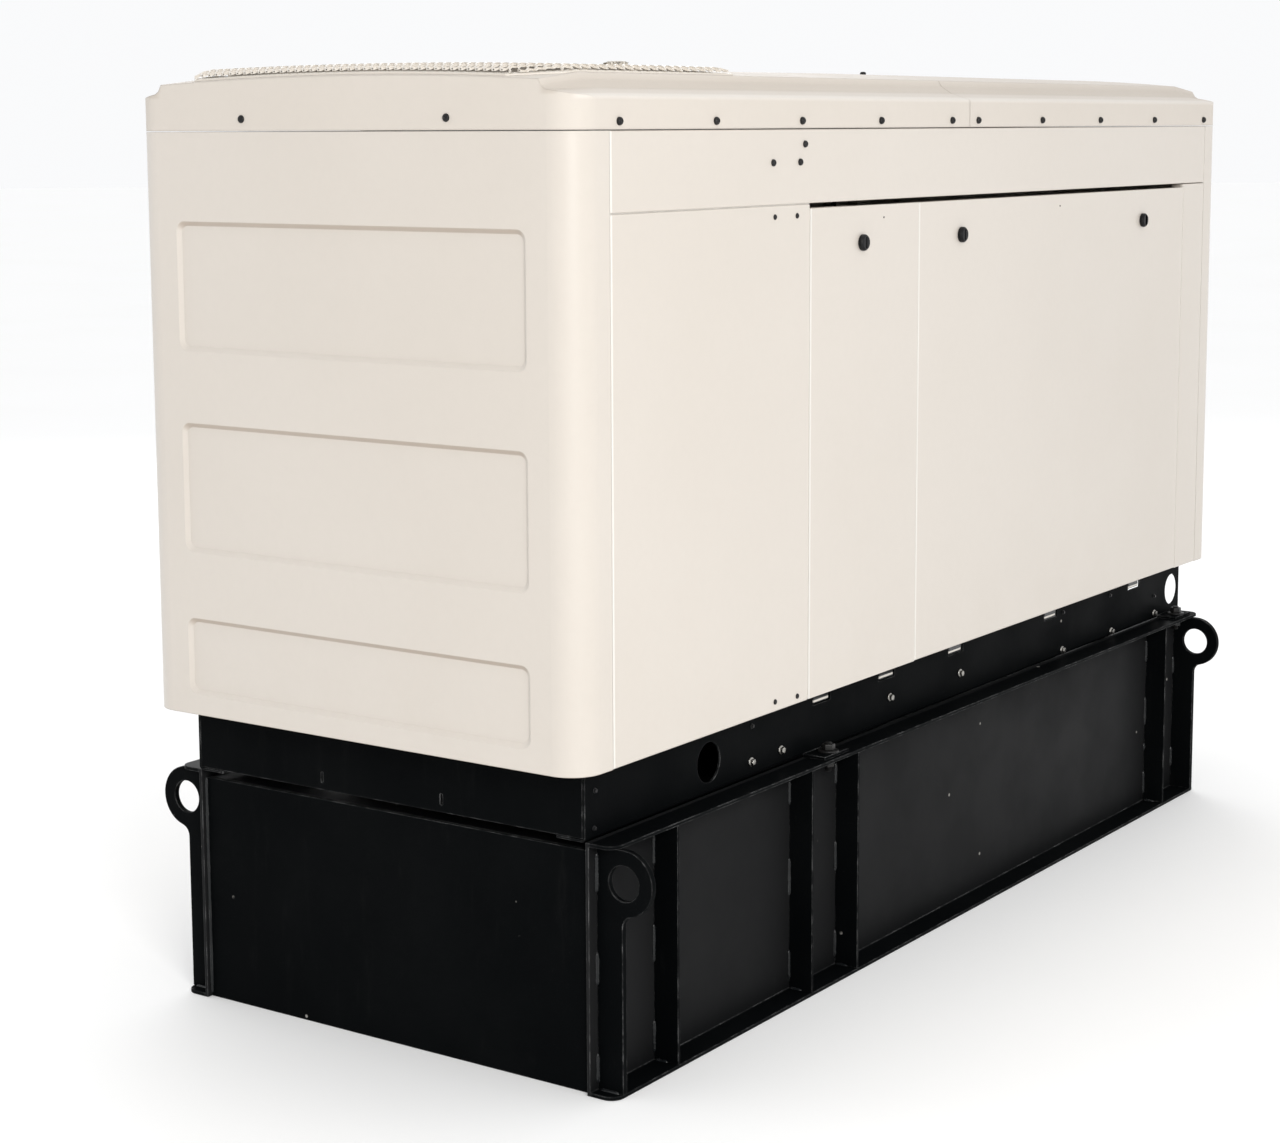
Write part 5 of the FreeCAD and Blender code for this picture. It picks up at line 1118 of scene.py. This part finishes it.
def marking(name, text, at, size):
    cu = bpy.data.curves.new(name, "FONT")
    cu.body = text
    cu.size = size
    cu.align_x = "CENTER"
    cu.align_y = "CENTER"
    cu.extrude = 0.00012
    cu.materials.append(WHITE_INK)
    o = bpy.data.objects.new(name, cu)
    scene.collection.objects.link(o)
    o.location = at
    o.rotation_euler = (math.pi / 2, 0, 0)
    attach(o, ROOT)


marking("selector_mark_0", "0", (0.660, -0.41515, 1.441), 0.012)
marking("selector_mark_1", "1", (0.636, -0.41515, 1.432), 0.012)
marking("selector_mark_2", "2", (0.684, -0.41515, 1.432), 0.012)
marking("breaker_mark_on", "ON", (0.704, -0.41815, 1.296), 0.010)
marking("breaker_mark_off", "OFF", (0.706, -0.41815, 1.226), 0.010)
bm = bmesh.new()
for x in (0.360, 0.410, 0.460):
    m4 = frame_of((x, -0.300, 1.180), (0, 0, -1))
    lathe(bm, m4, [(0.0, -0.001), (0.0155, -0.001), (0.0155, 0.006), (0.0120, 0.0075), (0.0135, 0.016), (0.0095, 0.024), (0.0, 0.024)], 24)
    nut(bm, (x, -0.300, 1.1785), (0, 0, -1), 0.030, 0.006)
new_piece("blanked_cable_glands", bm, "latch_black", bevel=0.0005)

# battery: cell caps, lead posts, hold-down bar with its hooks
bm = bmesh.new()
for k in range(6):
    m4 = frame_of((0.826 + 0.0355 * k, -0.255, 0.806), (0, 0, 1))
    lathe(bm, m4, [(0.0, 0.0), (0.0110, 0.0), (0.0115, 0.0010), (0.0115, 0.0045), (0.0100, 0.0058), (0.0, 0.0062)], 24)
new_piece("battery_cell_caps", bm, "battery_case", weighted=False)
bm = bmesh.new()
for x in (0.830, 1.000):
    band(bm, (x, -0.300, 0.806), (0, 0, 1), 0.0088, 0.0130, 0.002, 0.0105, 28, 0.0004)
    add_box(bm, (x - 0.0040, -0.3210, 0.8082), (x + 0.0040, -0.3125, 0.8162))
    hex_bolt(bm, (x + 0.0040, -0.3170, 0.8122), (1, 0, 0), 0.0075, 0.0048, 0.0052, 0.0010)
new_piece("battery_post_clamps", bm, "aluminium", bevel=0.0006)
bm = bmesh.new()
add_box(bm, (0.778, -0.212, 0.8064), (1.052, -0.190, 0.8094))
for x in (0.7815, 1.0485):
    thread(bm, (x, -0.201, 0.632), (0, 0, 1), 0.0035, 0.188, 0.004)
    nut(bm, (x, -0.201, 0.8094), (0, 0, 1), 0.011, 0.006)
new_piece("battery_hold_down", bm, "zinc_hardware", bevel=0.0004, segs=1)

# folded edges that close the seams between the side sheets, in a lighter ivory as a painted highlight
for side, sy in (("left", -1), ("right", 1)):
    for label, x0, x1, z0, z1, body in (("small_door_%s_edge", -0.62065, -0.6191, 0.6010, 1.530, BODY_OF["small_door_" + side]),
                                        ("large_door_%s_edge", -0.19770, -0.1962, 0.6010, 1.530, BODY_OF["large_door_" + side]),
                                        ("rear_panel_%s_edge", 1.14140, 1.1429, 0.5925, 1.538, ROOT),
                                        ("front_panel_%s_edge", -1.26770, -1.2662, 0.5925, 1.676, ROOT),
                                        ("end_panel_%s_edge", 1.26620, 1.2677, 0.5925, 1.676, ROOT)):
        bm = bmesh.new()
        ys = sorted((sy * 0.5077, sy * 0.4990))
        add_box(bm, (x0, ys[0], z0), (x1, ys[1], z1))
        new_piece(label % side, bm, "enclosure_paint", body=body, mat=EDGE_HIGHLIGHT)
    bm = bmesh.new()
    ys = sorted((sy * 0.5066, sy * 0.4990))
    add_box(bm, (-1.2655, ys[0], 1.5394), (-0.6215, ys[1], 1.5411))
    new_piece("fixed_panel_%s_top_edge" % side, bm, "enclosure_paint", mat=EDGE_HIGHLIGHT)

# ------------------------------------------------------------------ floor, light, camera
def stage_floor():
    bm = bmesh.new()
    ring = [bm.verts.new((70 * math.cos(math.pi * i / 24), 70 * math.sin(math.pi * i / 24), -0.0005)) for i in range(48)]
    bm.faces.new(ring)
    me = bpy.data.meshes.new("studio_floor")
    bm.to_mesh(me)
    bm.free()
    o = bpy.data.objects.new("studio_floor", me)
    scene.collection.objects.link(o)
    n = Nodes("studio_floor_pale")
    col = n.mix(n.ramp(n.noise(0.6, 3), 0.3, 0.7), (0.845, 0.845, 0.84), (0.86, 0.86, 0.855))
    me.materials.append(n.done(col, 0.8, Specular_IOR_Level=0.2, Emission_Color=(1.0, 1.0, 1.0, 1.0), Emission_Strength=0.14))


stage_floor()


def area_light(name, at, to, size, power, color=(1, 1, 1), size_y=None):
    li = bpy.data.lights.new(name, "AREA")
    li.energy = power
    li.color = color
    li.shape = "RECTANGLE"
    li.size = size
    li.size_y = size_y or size
    o = bpy.data.objects.new(name, li)
    scene.collection.objects.link(o)
    o.location = at
    o.rotation_mode = "QUATERNION"
    o.rotation_quaternion = (Vector(to) - Vector(at)).to_track_quat("-Z", "Y")
    o.visible_camera = False
    return o


area_light("key_soft_box", (-5.2, -5.4, 3.5), (-1.0, -0.5, 1.1), 2.2, 250, (1.0, 0.985, 0.965), 2.2)
area_light("side_soft_box", (3.5, -6.5, 4.2), (0.6, -0.5, 1.0), 4.0, 20, (1.0, 0.99, 0.97), 3.0)
area_light("rear_soft_box", (5.5, 5.0, 3.8), (0, 0, 1.0), 4.0, 80, (0.98, 0.99, 1.0), 3.0)
area_light("far_end_soft_box", (-4.5, 6.5, 3.4), (-0.6, 0.3, 1.0), 3.0, 25, (0.99, 0.99, 1.0), 2.4)

# a pale room: bright behind the object and overhead, softer on the side the object is lit from
world = bpy.data.worlds.new("studio_world")
scene.world = world
world.use_nodes = True
wt = world.node_tree
bg = wt.nodes["Background"]
bg.inputs[0].default_value = (0.985, 0.99, 1.0, 1)
geo = wt.nodes.new("ShaderNodeTexCoord").outputs["Generated"]
dot = wt.nodes.new("ShaderNodeVectorMath")
dot.operation = "DOT_PRODUCT"
wt.links.new(geo, dot.inputs[0])
dot.inputs[1].default_value = (math.cos(0.607), math.sin(0.607), 0.0)
around = wt.nodes.new("ShaderNodeMapRange")
around.interpolation_type = "SMOOTHSTEP"
wt.links.new(dot.outputs["Value"], around.inputs["Value"])
for k, v in (("From Min", -0.9), ("From Max", 0.8), ("To Min", 0.50), ("To Max", 0.97)):
    around.inputs[k].default_value = v
high = wt.nodes.new("ShaderNodeSeparateXYZ")
wt.links.new(geo, high.inputs[0])
lift = wt.nodes.new("ShaderNodeMapRange")
lift.interpolation_type = "SMOOTHSTEP"
wt.links.new(high.outputs["Z"], lift.inputs["Value"])
for k, v in (("From Min", 0.15), ("From Max", 0.8), ("To Min", 0.0), ("To Max", 0.29)):
    lift.inputs[k].default_value = v
total = wt.nodes.new("ShaderNodeMath")
total.operation = "ADD"
wt.links.new(around.outputs[0], total.inputs[0])
wt.links.new(lift.outputs[0], total.inputs[1])
wt.links.new(total.outputs[0], bg.inputs[1])
scene.view_settings.view_transform = "Standard"

cam_data = bpy.data.cameras.new("camera")
cam = bpy.data.objects.new("camera", cam_data)
scene.collection.objects.link(cam)
YAW, PIT, ROLL, F = 0.60719, 0.13852, -0.0045988, 2549.75
fwd = Vector((math.cos(YAW) * math.cos(PIT), math.sin(YAW) * math.cos(PIT), -math.sin(PIT)))
right = Vector((math.sin(YAW), -math.cos(YAW), 0))
up = right.cross(fwd)
r = right * math.cos(ROLL) + up * math.sin(ROLL)
u = -right * math.sin(ROLL) + up * math.cos(ROLL)
m = Matrix((r, u, -fwd)).transposed()
cam.rotation_mode = "QUATERNION"
cam.rotation_quaternion = m.to_quaternion()
cam.location = (-4.74434, -2.98196, 1.68642)
cam_data.sensor_width = 36.0
cam_data.lens = F / 1280 * 36.0
cam_data.shift_x = 0.0
cam_data.shift_y = -(571.5 - 481) / 1280
cam_data.clip_start = 0.05
cam_data.clip_end = 200
scene.camera = cam
